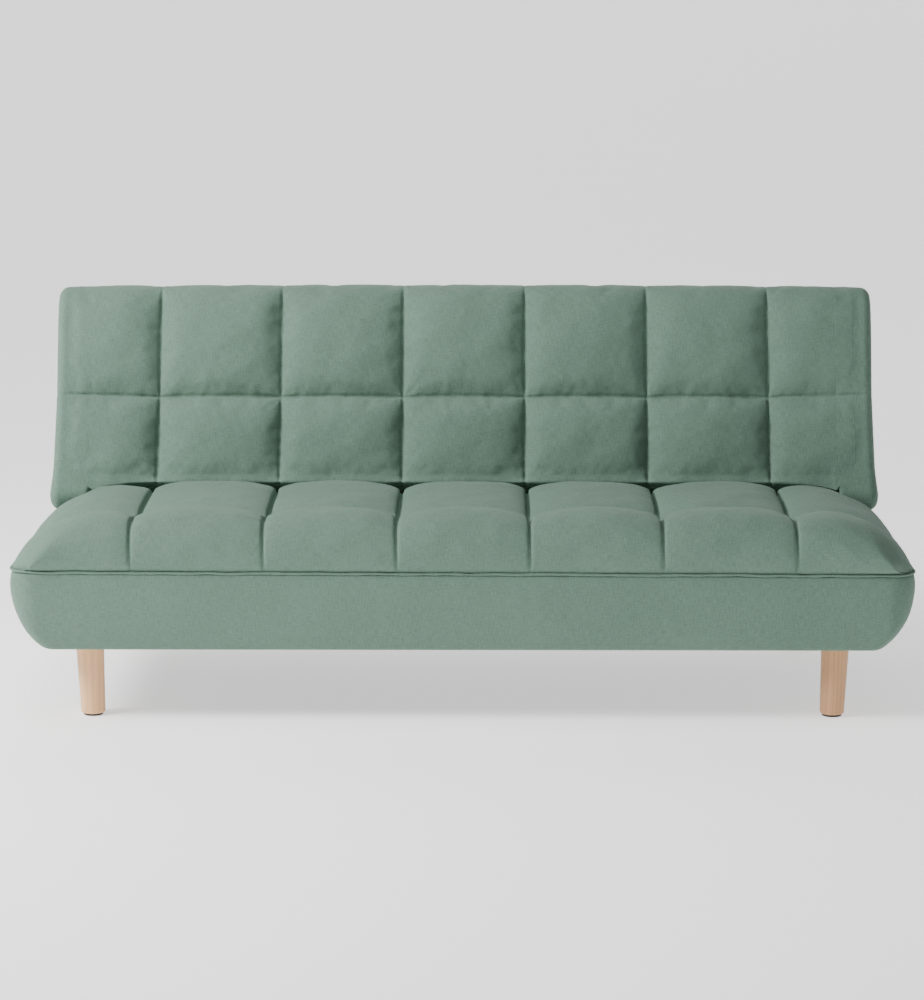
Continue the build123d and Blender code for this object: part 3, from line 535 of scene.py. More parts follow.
# The seat's side view as (d, z): nose, front row, rear row, shoulder, rear face.
NOSE_FOOT = (0.003, SEAM_Z)
NOSE_TOP = (0.072, SEAT_CREST + 0.001)
ROW_SEAM = (0.172, SEAT_CREST - 0.002)
SHOULDER = (0.436, 0.4205)
REAR_TOP = (0.5035, 0.3815)
SIDE_NOSE = bezier([NOSE_FOOT, (-0.028, 0.335), (-0.022, NOSE_TOP[1]), NOSE_TOP], np.linspace(0, 1, 160))
SIDE_ROW = bezier([NOSE_TOP, (0.100, NOSE_TOP[1]), (0.140, SEAT_CREST), ROW_SEAM], np.linspace(0, 1, 40))
SIDE_TOP = bezier([ROW_SEAM, (0.300, 0.4225), (0.390, 0.4225), SHOULDER], np.linspace(0, 1, 60))
SIDE_DOWN = bezier([SHOULDER, (0.466, 0.4190), (0.484, 0.4060), REAR_TOP], np.linspace(0, 1, 40))
SIDE_REAR = np.array([REAR_TOP, (0.5085, 0.368), (0.5095, 0.350), (0.5095, 0.316)])
SEAT_SIDE = Path(np.concatenate([SIDE_NOSE, SIDE_ROW[1:], SIDE_TOP[1:], SIDE_DOWN[1:], SIDE_REAR[1:]]))
T_ROW = Path(np.concatenate([SIDE_NOSE, SIDE_ROW[1:]])).length
T_REAR = T_ROW + Path(np.concatenate([SIDE_TOP, SIDE_DOWN[1:]])).length
T_END = SEAT_SIDE.length
CREST_CORNER = 0.092  # radius of the front corners at the crest, in plan
CROSSING = 0.040  # depth of the tufts where seams cross


def tuft(depth_u, depth_v, fa, fb, crossing):
    """Inward offset of a tufted skin from the seam depths of both directions."""
    a, b = 1 - fa, 1 - fb
    return depth_u * a + depth_v * b - crossing * a * b


def mirrored(seams):
    """The seams of both halves, left to right."""
    return [*[-s for s in seams[::-1]], *seams]


def build_seat():
    """The tufted seat cover, seven columns by two rows, closed underneath."""
    end = END_CURVE.length + END_START - SEAT_END
    knots_u = np.array([-SEAT_END - end, *mirrored(SEAMS), SEAT_END + end])
    knots_v = np.array([0.0, T_ROW, T_REAR])
    us = stations(knots_u, CUSHION_STEP)
    down_rear = T_REAR + np.linspace(0, 1, 7)[1:] * (T_END - T_REAR)
    vs = np.concatenate([stations(knots_v, CUSHION_STEP), down_rear])
    u, v = np.meshgrid(us, vs, indexing="ij")
    side = SEAT_SIDE.at(v)
    d, z_side = side[..., 0].copy(), side[..., 1]
    over = np.maximum(np.abs(u) - END_START, 0)
    lateral = END_CURVE.at(over)
    x = np.where(np.abs(u) > END_START, lateral[..., 0], np.abs(u))
    drop_end = np.where(np.abs(u) > END_START, lateral[..., 1], 0) / END_DROP
    drop_side = np.clip((SEAT_CREST - z_side) / END_DROP, -0.2, 1)
    drop = 1 - (1 - drop_end) * (1 - drop_side)
    z = SEAT_CREST - END_DROP * drop
    # Round the two front corners in plan.
    corner = CREST_CORNER + (CORNER_R - CREST_CORNER) * ramp(drop, 0.35, 1.0)
    lead = 0.003 * ramp(drop, 0.5, 1.0)
    a = np.clip((x - (SEAT_END_X - corner)) / corner, 0, 1)
    b = np.clip((corner + lead - d) / corner, 0, 1.3)
    both = (a > 0) & (b > 0)
    x_round = (SEAT_END_X - corner) + corner * a * np.sqrt(np.clip(1 - b * b / 2, 0, 1))
    d_round = corner + lead - corner * b * np.sqrt(1 - a * a / 2)
    x = np.where(both, x_round, x)
    d = np.where(both, d_round, d)
    # The rear corners stop short of the hinges.
    d = d - 0.0475 * ramp(x, 0.7845, 0.8000) * np.clip((d - 0.34) / 0.1695, 0, 1)
    rim = np.clip(drop - 0.55, 0, 0.45) / 0.45
    z = z - SEAM_TILT * x * np.sign(u) * rim
    x = x * np.sign(u) + 0.002 * (1 - ramp(x, 0.70, 0.80))
    p = np.stack([x, world_y(d), z], -1)
    n = grid_normals(p)
    ca, column = cell(u, knots_u)
    cb, row = cell(v, knots_v)
    outer_cell = (column == 0) | (column == len(knots_u) - 2)
    far = np.where(column == 0, 1 - ca, ca)
    fa = np.where(outer_cell & (far > 0.5), 1.0, dome(np.where(outer_cell, far, ca), 2.2))
    fb = dome(cb, 2.2)
    fb = np.where((row == 0) & (cb < 0.5), ramp(cb, 0.0, 0.42), fb)
    front_depth = np.interp(cb, [0, 0.12, 0.35, 0.60, 0.8, 1],
                            [0.001, 0.006, 0.013, 0.026, 0.037, CROSSING])
    top_depth = np.interp(cb, [0, 0.15, 0.5, 0.85, 1], [CROSSING, 0.036, 0.031, 0.028, 0.015])
    depth_u = np.where(row == 0, front_depth, top_depth)
    # The row seam is deepest at the crossings and fades out round the ends.
    mid_depth = CROSSING - (CROSSING - 0.0270) * np.sin(math.pi * ca) ** 0.7
    end_depth = np.interp(far, [0, 0.25, 0.5, 0.8, 1], [CROSSING, 0.026, 0.020, 0.011, 0.003])
    depth_row = np.where(outer_cell, end_depth, mid_depth)
    near_row = np.where(row == 0, cb > 0.5, cb < 0.5)
    rear_depth = np.interp(np.sin(math.pi * ca), [0, 1], [0.004, 0.006])
    depth_v = np.where(near_row, depth_row, np.where(row == 0, 0.0015, rear_depth))
    inward = tuft(depth_u, depth_v, fa, fb, CROSSING)
    inward = np.where(near_row, inward, depth_u * (1 - fa) + depth_v * (1 - fb) * fa)
    # Past the shoulder the skin runs straight down the rear face.
    behind = v > T_REAR - ON_LINE
    inward = np.where(behind, (0.015 - 0.012 * ramp(v, T_REAR, T_END)) * (1 - fa), inward)
    inward = np.where(np.abs(np.abs(u) - (SEAT_END + end)) < ON_LINE, 0, inward)
    inward = np.where(v < ON_LINE, 0, inward)
    start = p - n * (inward + 0.0012 * fa * fb)[..., None]
    obj = mesh_of("seat_cushion", start.reshape(-1, 3), grid_faces(len(us), len(vs)),
                  np.stack([u, v], -1).reshape(-1, 2), FABRIC)
    on_seam = (np.min(np.abs(u[..., None] - knots_u), axis=-1) < ON_LINE) | \
        (np.min(np.abs(v[..., None] - knots_v), axis=-1) < ON_LINE) | (v > T_REAR - 0.02)
    swell(obj, on_seam.ravel(), grow=0.014, cap=0.004)
    subdivide(obj)
    gathers = [(-0.93, -0.70, 0.0, 0.0014, 0.021, 0.022), (0.72, 0.86, 0.0, 0.0006, 0.024, 0.018)]

    def fade(uu, vv):
        """How strongly seams and puckers show: less at the rims and round the ends."""
        reach = ramp(vv, 0.0, 0.02) * (1 - ramp(np.abs(uu), SEAT_END + 0.72 * end, SEAT_END + end))
        return reach * (1 - 0.6 * ramp(vv, T_REAR - 0.03, T_REAR))

    pucker(obj, knots_u, knots_v, T_REAR, 0.0050, 11, fade, gathers)
    close_holes(obj)
    return obj


def back_to_world(x, v, u):
    """A point given behind the back's front face (v) and above the hinge line (u), in the row frame."""
    w = v - FACE_V
    d = HINGE_D + u * math.sin(RAKE) + w * math.cos(RAKE)
    z = HINGE_Z + u * math.cos(RAKE) - w * math.sin(RAKE)
    return np.stack([x, world_y(d), z], -1)


# The back's outermost skin: up the face, over the top and a little way down the rear.
BACK_HALF = 0.8830
BACK_EDGE = 0.0225  # rounding of the side edges
BACK_REAR = 0.1292  # where the cover ends at the rear
END_WALL = 0.085  # depth of the flat end walls
FACE_FRONT = 0.0015
EAR_RADIUS = FACE_V - FACE_FRONT
FACE_START = 0.030
MIDDLE = 0.2104  # height of the cross seam
TOP_CREST = 0.4705
FOOT_LOW = 0.0035  # the lower edge's height above the hinge line
FACE_UP = np.array([(FACE_FRONT, FACE_START), (FACE_FRONT, MIDDLE)])
FACE_TOP = bezier([(FACE_FRONT, MIDDLE), (0.0010, 0.405), (-0.0030, TOP_CREST), (0.0560, TOP_CREST)],
                  np.linspace(0, 1, 160))
FACE_OVER = np.array([(0.0560, TOP_CREST), (0.1000, 0.4670), (BACK_REAR, 0.4530)])
BACK_SIDE = Path(np.concatenate([FACE_UP, FACE_TOP[1:], FACE_OVER[1:]]))
B_MID = MIDDLE - FACE_START
B_ROLL = B_MID + Path(FACE_TOP).length
B_TOP = BACK_SIDE.length
BACK_CROSSING = 0.0268
FOOT_ROWS = 20  # grid rows below the face, the first INNER_ROWS of them out of sight
INNER_ROWS = 11
WRAP = 0.62  # radians the lower edge turns under in front of the hinge
FOOT = 0.105  # length of cloth below the face
SLEEVE_X = 0.8020  # outside this the lower edge wraps round the hinge
EAR_X = 0.8385  # outside this it wraps right round to the rear
QUARTER = np.linspace(0, math.pi / 2, 40)
END_FLAT = BACK_HALF - BACK_EDGE
END_ARC = np.stack([END_FLAT + BACK_EDGE * np.sin(QUARTER), BACK_EDGE - BACK_EDGE * np.cos(QUARTER)], 1)
BACK_END = Path(np.concatenate([[(BACK_END_SEAM, 0.0), (END_FLAT, 0.0)], END_ARC[1:], [(BACK_HALF, END_WALL)]]))


def round_hinge(turn):
    """Points of (v, u) on the round of the ears, at angles below the face."""
    return list(np.stack([FACE_V - EAR_RADIUS * np.cos(turn), -EAR_RADIUS * np.sin(turn)], 1))


def foot_line(kind):
    """Lower edge of the back as two lines of (v, u): the hidden inner part and the visible front part.

    kind 0 is the plain sloping shoulder, 1 wraps down in front of the hinge, 2 wraps right round it.
    """
    if kind == 0:
        inner = [(0.0430, FOOT_LOW), (0.0380, FOOT_LOW)]
        front = [(0.0380, FOOT_LOW), (0.0330, 0.0050), (0.0080, 0.0110), (0.0030, 0.0140), (FACE_FRONT, 0.0200)]
    else:
        front = round_hinge(np.linspace(WRAP, 0, 20))
        if kind == 1:
            inner = [(0.0340, -0.0100), tuple(front[0])]
        else:
            inner = [(BACK_REAR, FOOT_LOW), (0.0980, 0.0005)] + round_hinge(np.linspace(math.pi, WRAP, 40))
    front = front + [(FACE_FRONT, FACE_START)]
    return Path(np.array(inner)), Path(np.array(front))


def build_back():
    """The tufted back cover, seven columns by two rows, with the ears that wrap round the hinges."""
    face = END_FLAT - BACK_END_SEAM
    end = BACK_END.length
    marks = [-BACK_END_SEAM - face, *mirrored(BACK_SEAMS), BACK_END_SEAM + face]
    knots_u = np.array([-BACK_END_SEAM - end, *marks, BACK_END_SEAM + end])
    us = stations(knots_u, CUSHION_STEP, fine=0.0045)
    # Two close columns on either side of each place where the lower edge changes its form.
    for edge in (SLEEVE_X, EAR_X):
        for sign in (-1, 1):
            us = us[np.abs(us - sign * edge) > 0.0042]
            us = np.concatenate([us, [sign * (edge - 0.0011), sign * (edge + 0.0011)]])
    us = np.sort(us)
    knots_v = np.array([0.0, B_MID, B_TOP])
    vs = stations(knots_v, CUSHION_STEP)
    low = np.linspace(0, 1, FOOT_ROWS + 1)[:-1]
    rows = np.concatenate([-FOOT * (1 - low), vs])
    u, v = np.meshgrid(us, rows, indexing="ij")
    # Profile of every column, and its outward direction.
    lines = [foot_line(kind) for kind in (0, 1, 2)]
    front_share = np.linspace(0, 1, FOOT_ROWS - INNER_ROWS + 1)[:-1]
    inner_share = np.linspace(0, 1, INNER_ROWS + 1)[:-1]
    profile = np.zeros(u.shape + (2,))
    for i, x in enumerate(us):
        over = max(abs(x) - BACK_END_SEAM, 0)
        at = BACK_END.at(over)[0] if over > 0 else abs(x)
        inner, front = lines[2 if at > EAR_X else (1 if at > SLEEVE_X else 0)]
        profile[i, :INNER_ROWS] = inner.at(inner_share * inner.length)
        profile[i, INNER_ROWS:FOOT_ROWS] = front.at(front_share * front.length)
        if at <= SLEEVE_X:
            # Near the ends the lower edge follows the seat, which falls away there.
            fall = np.interp(at, END_CURVE.points[:, 0], END_CURVE.points[:, 1])
            height = profile[i, INNER_ROWS:FOOT_ROWS, 1]
            part = np.clip((height - FOOT_LOW) / 0.0137, 0, 1)
            blend = 1 - np.clip((height - 0.021) / 0.009, 0, 1) * 0.5
            profile[i, INNER_ROWS:FOOT_ROWS, 1] -= fall * part * blend
        profile[i, FOOT_ROWS:] = BACK_SIDE.at(vs)
    tangent = np.gradient(profile, axis=1)
    tangent /= np.maximum(np.linalg.norm(tangent, axis=-1, keepdims=True), 1e-9)
    outward = np.stack([-tangent[..., 1], tangent[..., 0]], -1)
    over = np.maximum(np.abs(u) - BACK_END_SEAM, 0)
    lateral = BACK_END.at(over)
    x = np.where(over > 0, lateral[..., 0], np.abs(u))
    sink = np.where(over > 0, lateral[..., 1], 0)
    inset = np.minimum(sink, BACK_EDGE)
    share = np.clip((sink - BACK_EDGE) / (END_WALL - BACK_EDGE), 0, 1)
    pv = profile[..., 0] - outward[..., 0] * inset
    pu = profile[..., 1] - outward[..., 1] * inset
    # The top edge falls a little towards the ends.
    pu = pu - (0.0028 * (x / 0.87) ** 2 + 0.0045 * (x / 0.87) ** 6) * ramp(profile[..., 1], 0.38, 0.46)
    pv = pv + (BACK_REAR - pv) * share
    pu = pu + (np.clip(pu, FOOT_LOW, 0.4560) - pu) * share
    # The ends are a little fuller at the top and the foot than at the middle seam.
    flare = -0.0012 * np.cos((profile[..., 1] - MIDDLE) / 0.22 * math.pi)
    flare = flare + 0.0055 * (1 - ramp(profile[..., 1], -0.02, 0.060))
    x = x + flare * ramp(x, 0.80, 0.865)
    p = back_to_world(x * np.sign(u), pv, pu)
    n = grid_normals(p)
    seams_u = np.array(marks)
    ca, column = cell(u, seams_u)
    t = np.maximum(v, 0)
    cb, row = cell(t, knots_v)
    outer_cell = (column == 0) | (column == len(seams_u) - 2)
    far = np.where(column == 0, 1 - ca, ca)
    fa = np.where(outer_cell & (far > 0.5), 1.0, dome(np.where(outer_cell, far, ca), 2.3))
    near_mid = np.where(row == 0, cb > 0.5, cb < 0.5)
    fb = np.where(near_mid, dome(cb, 2.5), 1.0)
    bu = profile[..., 1]
    low_depth = np.interp(bu, [0, 0.010, 0.028, 0.12, MIDDLE], [0.001, 0.003, 0.013, 0.022, BACK_CROSSING])
    up_depth = np.interp(cb, [0, 0.25, 0.50, 0.62, 0.74, 0.90, 1],
                         [BACK_CROSSING, 0.022, 0.018, 0.011, 0.0045, 0.003, 0.001])
    depth_u = np.where(row == 0, low_depth, up_depth)
    mid_depth = BACK_CROSSING - (BACK_CROSSING - 0.0205) * np.sin(math.pi * ca) ** 0.7
    end_depth = np.interp(far, [0, 0.25, 0.7, 1], [BACK_CROSSING, 0.019, 0.009, 0.004])
    depth_v = np.where(outer_cell, end_depth, mid_depth)
    inward = tuft(depth_u, depth_v, fa, fb, BACK_CROSSING)
    on_face = 1 - ramp(over, face - 0.004, face + 0.020)
    inward = inward * (0.25 + 0.75 * on_face) * (1 - share)
    inward = np.where((x > SLEEVE_X) & (v < 0), 0, inward)
    # Gentle fall of every cell towards its seams, so that the pads look stuffed.
    swell_u = np.sin(math.pi * np.clip(ca, 0, 1)) ** 0.9
    swell_v = np.sin(math.pi * np.clip(0.06 + 0.94 * cb, 0, 1)) ** 0.7
    pad = 0.0075 * (1 - swell_u * swell_v)
    pad = np.where((row == 1) & (cb > 0.62), pad * (1 - ramp(cb, 0.62, 0.80)), pad)
    pad = pad * on_face * np.where(outer_cell, 1 - 0.75 * ramp(far, 0.40, 0.95), 1.0)
    pad = pad * ramp(v, -0.05, 0.03)
    start = p - n * (inward + pad + 0.0008 * fa * fb * on_face)[..., None]
    obj = mesh_of("back_cushion", start.reshape(-1, 3), grid_faces(len(us), len(rows)),
                  np.stack([u, v + 1.0], -1).reshape(-1, 2), FABRIC)
    on_seam = (np.min(np.abs(u[..., None] - seams_u), axis=-1) < ON_LINE) | (v < 0.004) | \
        (v > B_TOP - 0.03) | (np.abs(v - B_MID) < ON_LINE) | (over > face - 0.02)
    swell(obj, on_seam.ravel(), grow=0.010, cap=0.0035)
    subdivide(obj)

    def fade(uu, vv):
        """How strongly seams and puckers show: not on the end walls or at the rear edge."""
        reach = 1 - ramp(np.abs(uu), END_FLAT - 0.02, END_FLAT + 0.02)
        low_edge = np.where(np.abs(uu) > SLEEVE_X - 0.01, ramp(vv, 1.0, 1.04),
                            ramp(vv, 1.0 - 0.6 * FOOT, 1.0))
        return reach * low_edge * (1 - 0.9 * ramp(vv, 1.0 + B_ROLL - 0.07, 1.0 + B_ROLL - 0.02))

    far_off = 9
    pucker(obj, np.array([-far_off, *mirrored(BACK_SEAMS), far_off]), np.array([0, 1.0 + B_MID, far_off]),
           B_TOP + 1.0, 0.0026, 41, fade)
    close_holes(obj)
    return obj


seat = build_seat()
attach(seat, "seat_base")
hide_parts("seat_cover")

back = build_back()
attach(back, "backrest")
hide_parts("back_cover")


# ---- base border: one padded strip round the base ----
WIDEST = 0.9085
LOW_Z = 0.1478
WIDEST_Z = 0.279
LOW_CURVE = bezier([(0.8410, LOW_Z), (0.8740, 0.1720), (0.9095, 0.2220), (WIDEST, WIDEST_Z)],
                   np.linspace(0, 1, 120))
HIGH_CURVE = bezier([(WIDEST, WIDEST_Z), (WIDEST, 0.330), (0.852, 0.420), (0.745, 0.420)],
                    np.linspace(0, 1, 120))
BOAT = np.concatenate([LOW_CURVE, HIGH_CURVE[1:]])


def half_width(z):
    """Half width of the boat-shaped base at a height."""
    return np.interp(z, BOAT[:, 1], BOAT[:, 0])


def plan_point(w, half, front, rear, corner):
    """Points (x, d) round one side of the base, their outward directions and the length q gone round.

    w runs 0..1 from the front middle to the rear middle. Arrays are allowed.
    """
    flat, deep = half - corner, rear - front - 2 * corner
    turn = CORNER_R * math.pi / 2
    nominal_flat, nominal_deep = WIDEST - CORNER_R, BASE_REAR - 2 * CORNER_R
    q = w * (2 * nominal_flat + nominal_deep + 2 * turn)
    ends = np.cumsum([nominal_flat, turn, nominal_deep, turn])
    part = [q <= end for end in ends]  # front, front corner, side, rear corner; what is left is the rear
    t, u = (q - ends[0]) / CORNER_R, (q - ends[2]) / CORNER_R
    x = np.select(part, [q / nominal_flat * flat, flat + corner * np.sin(t), half, flat + corner * np.cos(u)],
                  flat * (1 - (q - ends[3]) / nominal_flat))
    d = np.select(part, [front, front + corner - corner * np.cos(t),
                         front + corner + (q - ends[1]) / nominal_deep * deep,
                         rear - corner + corner * np.sin(u)], rear)
    nx = np.select(part, [0.0, np.sin(t), 1.0, np.cos(u)], 0.0)
    nd = np.select(part, [-1.0, -np.cos(t), 0.0, np.sin(u)], 1.0)
    return x, d, nx, nd, q


DROPS = np.array([0, 0.002, 0.005, 0.010, 0.018, 0.028, 0.040, 0.053, 0.067, 0.081, 0.095, 0.108,
                  0.120, 0.130, 0.138, 0.144, 0.148, 0.151, 0.153])
REAR_Z = 0.274  # top of the border behind the seat cushion
CUSHION_REAR = 0.508
LOW_CORNER = 0.024  # corner radius at the foot of the border
UNDER_TURN = ((0.006, -0.0006), (0.014, 0.0002), (0.022, 0.004))  # how far in and up the lower edge turns


def border_half(sign):
    """Rows of points and cloth coordinates, from the seam down, of the strip's right (1) or left (-1) half."""
    around = np.linspace(0, 1, 330)
    rows, uvs = [], []
    for share in DROPS / DROPS[-1]:
        x, d, nx, nd, q = plan_point(around, WIDEST, 0.0, BASE_REAR, CORNER_R)
        # The strip is lower behind the seat cushion.
        step = 1 / (1 + np.exp(-(d - CUSHION_REAR) / 0.0015))
        top = (SEAM_Z - BAND - SEAM_TILT * sign * x) * (1 - step) + REAR_Z * step
        z = top - (top - LOW_Z) * share
        corner = LOW_CORNER + (CORNER_R - LOW_CORNER) * ramp(z, 0.165, 0.25)
        half = half_width(np.clip(z, LOW_Z + 0.0001, 0.3))
        x, d, nx, nd, q = plan_point(around, half, 0.0, BASE_REAR, corner)
        bulge = 0.0034 * np.sin(math.pi * share) ** 0.55 - 0.0008
        edge = -0.0025 * np.clip((share - 0.97) / 0.03, 0, 1) ** 2
        uneven = 0.0010 * smooth_noise(np.stack([q * sign, z * 2.2], 1), 0.30, 5) + \
            0.00035 * smooth_noise(np.stack([q * sign, z], 1), 0.05, 6)
        tuck = -0.0020 * np.exp(-((share * DROPS[-1] / 0.0018) ** 2))
        out = bulge + edge + tuck + uneven * np.sin(math.pi * np.clip(share * 0.96 + 0.02, 0, 1))
        rows.append(np.stack([sign * (x + nx * out), world_y(d + nd * out), z], -1))
        uvs.append(np.stack([sign * q, 3.0 - z], -1))
    return np.array(rows), np.array(uvs)


def moved_in(ring, amount):
    """A ring of points moved towards the middle of the base, square to its own line."""
    along = np.roll(ring, -1, axis=0) - np.roll(ring, 1, axis=0)
    side = np.stack([-along[:, 1], along[:, 0]], 1)
    side /= np.linalg.norm(side, axis=1, keepdims=True)
    toward = np.array([0, world_y(BASE_REAR / 2)]) - ring[:, :2]
    side *= np.sign((side * toward).sum(1, keepdims=True))
    out = ring.copy()
    out[:, :2] += side * amount
    return out


def build_border():
    """The padded strip round the base as one closed shell: outer face, under turn and inner wall."""
    (right, right_uv), (left, left_uv) = border_half(1), border_half(-1)
    # One ring: the right side from the front middle to the rear middle, then the left side back.
    ring = np.concatenate([right, left[:, ::-1][:, 1:-1]], axis=1)
    uv = np.concatenate([right_uv, left_uv[:, ::-1][:, 1:-1]], axis=1)
    low = ring[-1]
    inward = np.array([0, world_y(BASE_REAR / 2), 0]) - low
    inward[:, 2] = 0
    inward /= np.linalg.norm(inward, axis=1, keepdims=True)
    under = [low + inward * step + [0, 0, rise] for step, rise in UNDER_TURN]
    wall_low = moved_in(ring[-3], 0.010)
    wall_low[:, 2] = 0.1585
    wall_top = moved_in(ring[0], 0.012)
    wall_top[:, 2] = ring[0][:, 2] - 0.001
    rows = np.array([*ring, *under, wall_low, (wall_low + wall_top) / 2, wall_top, ring[0]])
    under_uv = [uv[-1] + [0, step] for step, _ in UNDER_TURN]
    wall_uv = [under_uv[-1] + [0, up] for up in (0.01, 0.08, 0.16, 0.17)]
    uv = np.array([*uv, *under_uv, *wall_uv])
    obj = mesh_of("base_border", rows.reshape(-1, 3), grid_faces(*rows.shape[:2], wrap=True),
                  uv.reshape(-1, 2), FABRIC)
    bm = bmesh.new()
    bm.from_mesh(obj.data)
    bmesh.ops.remove_doubles(bm, verts=bm.verts, dist=1e-6)
    bmesh.ops.recalc_face_normals(bm, faces=bm.faces)
    bm.to_mesh(obj.data)
    bm.free()
    return obj


border = build_border()
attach(border, "seat_base")
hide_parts("base_front_border", "base_left_border", "base_right_border", "base_rear_border")


# ---- welt band on the seam ----
WELT_SECTION = [(-0.0026, -0.0008), (-0.0025, 0.0010), (-0.0015, 0.0019), (0.0, 0.0022), (0.0015, 0.0019),
                (0.0025, 0.0010), (0.0026, -0.0008), (0.0022, -0.0035), (0.0, -0.0040), (-0.0022, -0.0035)]
WELT_REAR = 0.5065  # where the band ends on each side


def welt_half(sign):
    """The band's section (up, out) swept from the front middle round one side."""
    x, d, nx, nd, q = plan_point(np.linspace(0, 1, 560), SEAT_END_X + 0.0012, 0.001, BASE_REAR, CORNER_R)
    keep = (d < WELT_REAR) & (q < WIDEST + 0.6)
    x, d, nx, nd, q = x[keep], d[keep], nx[keep], nd[keep], q[keep]
    wave = 0.0008 * smooth_noise(np.stack([q * sign, q * 0], 1), 0.12, 9)
    z = SEAM_Z - BAND / 2 + wave - SEAM_TILT * sign * x
    wide = 1 + 0.18 * smooth_noise(np.stack([q * sign, q * 0], 1), 0.05, 10)
    rings = [np.stack([sign * (x + nx * out), world_y(d + nd * out), z + up * wide], -1)
             for up, out in WELT_SECTION]
    return np.array(rings), q * sign


def build_welt():
    """The welt band, from one rear end round the front to the other."""
    (right, right_q), (left, left_q) = welt_half(1), welt_half(-1)
    line = np.concatenate([left[:, ::-1], right[:, 1:]], axis=1).transpose(1, 0, 2)
    q = np.concatenate([left_q[::-1], right_q[1:]])
    n, m = line.shape[:2]
    uv = np.stack(np.broadcast_arrays(q[:, None], 5.0 + np.linspace(0, 0.02, m)[None]), -1)
    obj = mesh_of("seat_welt_band", line.reshape(-1, 3), grid_faces(n, m, flip=True, wrap=True),
                  uv.reshape(-1, 2), FABRIC)
    close_holes(obj)
    return obj


welt = build_welt()
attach(welt, "seat_base")
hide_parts("seat_welt")


# ---- outside back, a cloth-covered board ----
PANEL_HALF = 0.8760
PANEL_LOW, PANEL_TOP = 0.0035, 0.4505
PANEL_V = 0.1304  # its front, behind the back's face
PANEL_RIM = 0.00016  # how far its edge turns forward


def build_outside_back():
    """The slightly bowed board behind the back, with rounded edges."""
    rim = PANEL_HALF - np.array([0, 0.0015, 0.0055, 0.0135])
    xs = np.concatenate([-rim, np.linspace(-0.845, 0.845, 69), rim[::-1]])
    us = np.concatenate([[PANEL_LOW, 0.0055, 0.0095, 0.018], np.linspace(0.035, 0.42, 20),
                         [0.436, 0.4445, 0.4485, PANEL_TOP]])
    x, u = np.meshgrid(xs, us, indexing="ij")
    edge = np.minimum.reduce([PANEL_HALF - np.abs(x), u - PANEL_LOW, PANEL_TOP - u])
    rise = 0.0044 * np.clip(edge / 0.010, 0, 1) ** 0.5
    bow = 0.0016 * np.sin(math.pi * (x + PANEL_HALF) / (2 * PANEL_HALF))
    bow = bow * np.sin(math.pi * (u - PANEL_LOW) / (PANEL_TOP - PANEL_LOW))
    uneven = 0.0005 * smooth_noise(np.stack([x.ravel(), u.ravel()], 1), 0.22, 21).reshape(x.shape)
    v = PANEL_V + rise + (bow + uneven) * np.clip(edge / 0.02, 0, 1)
    p = back_to_world(x, v, u)
    obj = mesh_of("outside_back", p.reshape(-1, 3), grid_faces(len(xs), len(us), flip=True),
                  np.stack([x, u + 7.0], -1).reshape(-1, 2), FABRIC)
    bm = bmesh.new()
    bm.from_mesh(obj.data)
    rim = [e for e in bm.edges if e.is_boundary]
    new = bmesh.ops.extrude_edge_only(bm, edges=rim)["geom"]
    push = Vector(back_to_world(0.0, 0.0, 0.2) - back_to_world(0.0, PANEL_RIM, 0.2))
    for item in new:
        if isinstance(item, bmesh.types.BMVert):
            item.co += push
    bm.to_mesh(obj.data)
    bm.free()
    close_holes(obj)
    return obj


outside = build_outside_back()
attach(outside, "backrest")
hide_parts("outside_back_panel")


# ---- crease gusset between seat and back ----
GUSSET_HALF = 0.836
GUSSET_REACH = 0.0195  # distance from the hinge line


def build_gusset():
    """A strip of cloth over the hinge line, from the seat to the back, and its length front to rear."""
    xs = np.linspace(-GUSSET_HALF, GUSSET_HALF, 168)
    turn = np.radians(np.arange(130, 0, -10))
    path = Path(np.stack([HINGE_D + GUSSET_REACH * np.cos(turn), HINGE_Z + GUSSET_REACH * np.sin(turn)], 1))
    ts = np.linspace(0, path.length, 22)
    x, t = np.meshgrid(xs, ts, indexing="ij")
    at = path.at(t)
    ripple = 0.0006 * smooth_noise(np.stack([x.ravel(), t.ravel() * 0.4], 1), 0.05, 31).reshape(x.shape)
    p = np.stack([x, world_y(at[..., 0]), at[..., 1] - 0.0008 + ripple], -1)
    # Made in the sage weave darkened to 0.62: painted shade of the crease.
    obj = mesh_of("crease_cloth", p.reshape(-1, 3), grid_faces(len(xs), len(ts)),
                  np.stack([x, t + 9.0], -1).reshape(-1, 2), FABRIC_PAINTED_SHADE)
    return obj, path.length


gusset, gusset_length = build_gusset()
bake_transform(gusset)
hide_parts("crease_gusset")


# ---- dust cover under the base ----
DUST_Z = 0.1588
NOTCH_X, NOTCH_FRONT, NOTCH_REAR = 0.706, 0.088, 0.086  # cut out round the leg plates
NOTCH_AREA = 0.106 * 0.087


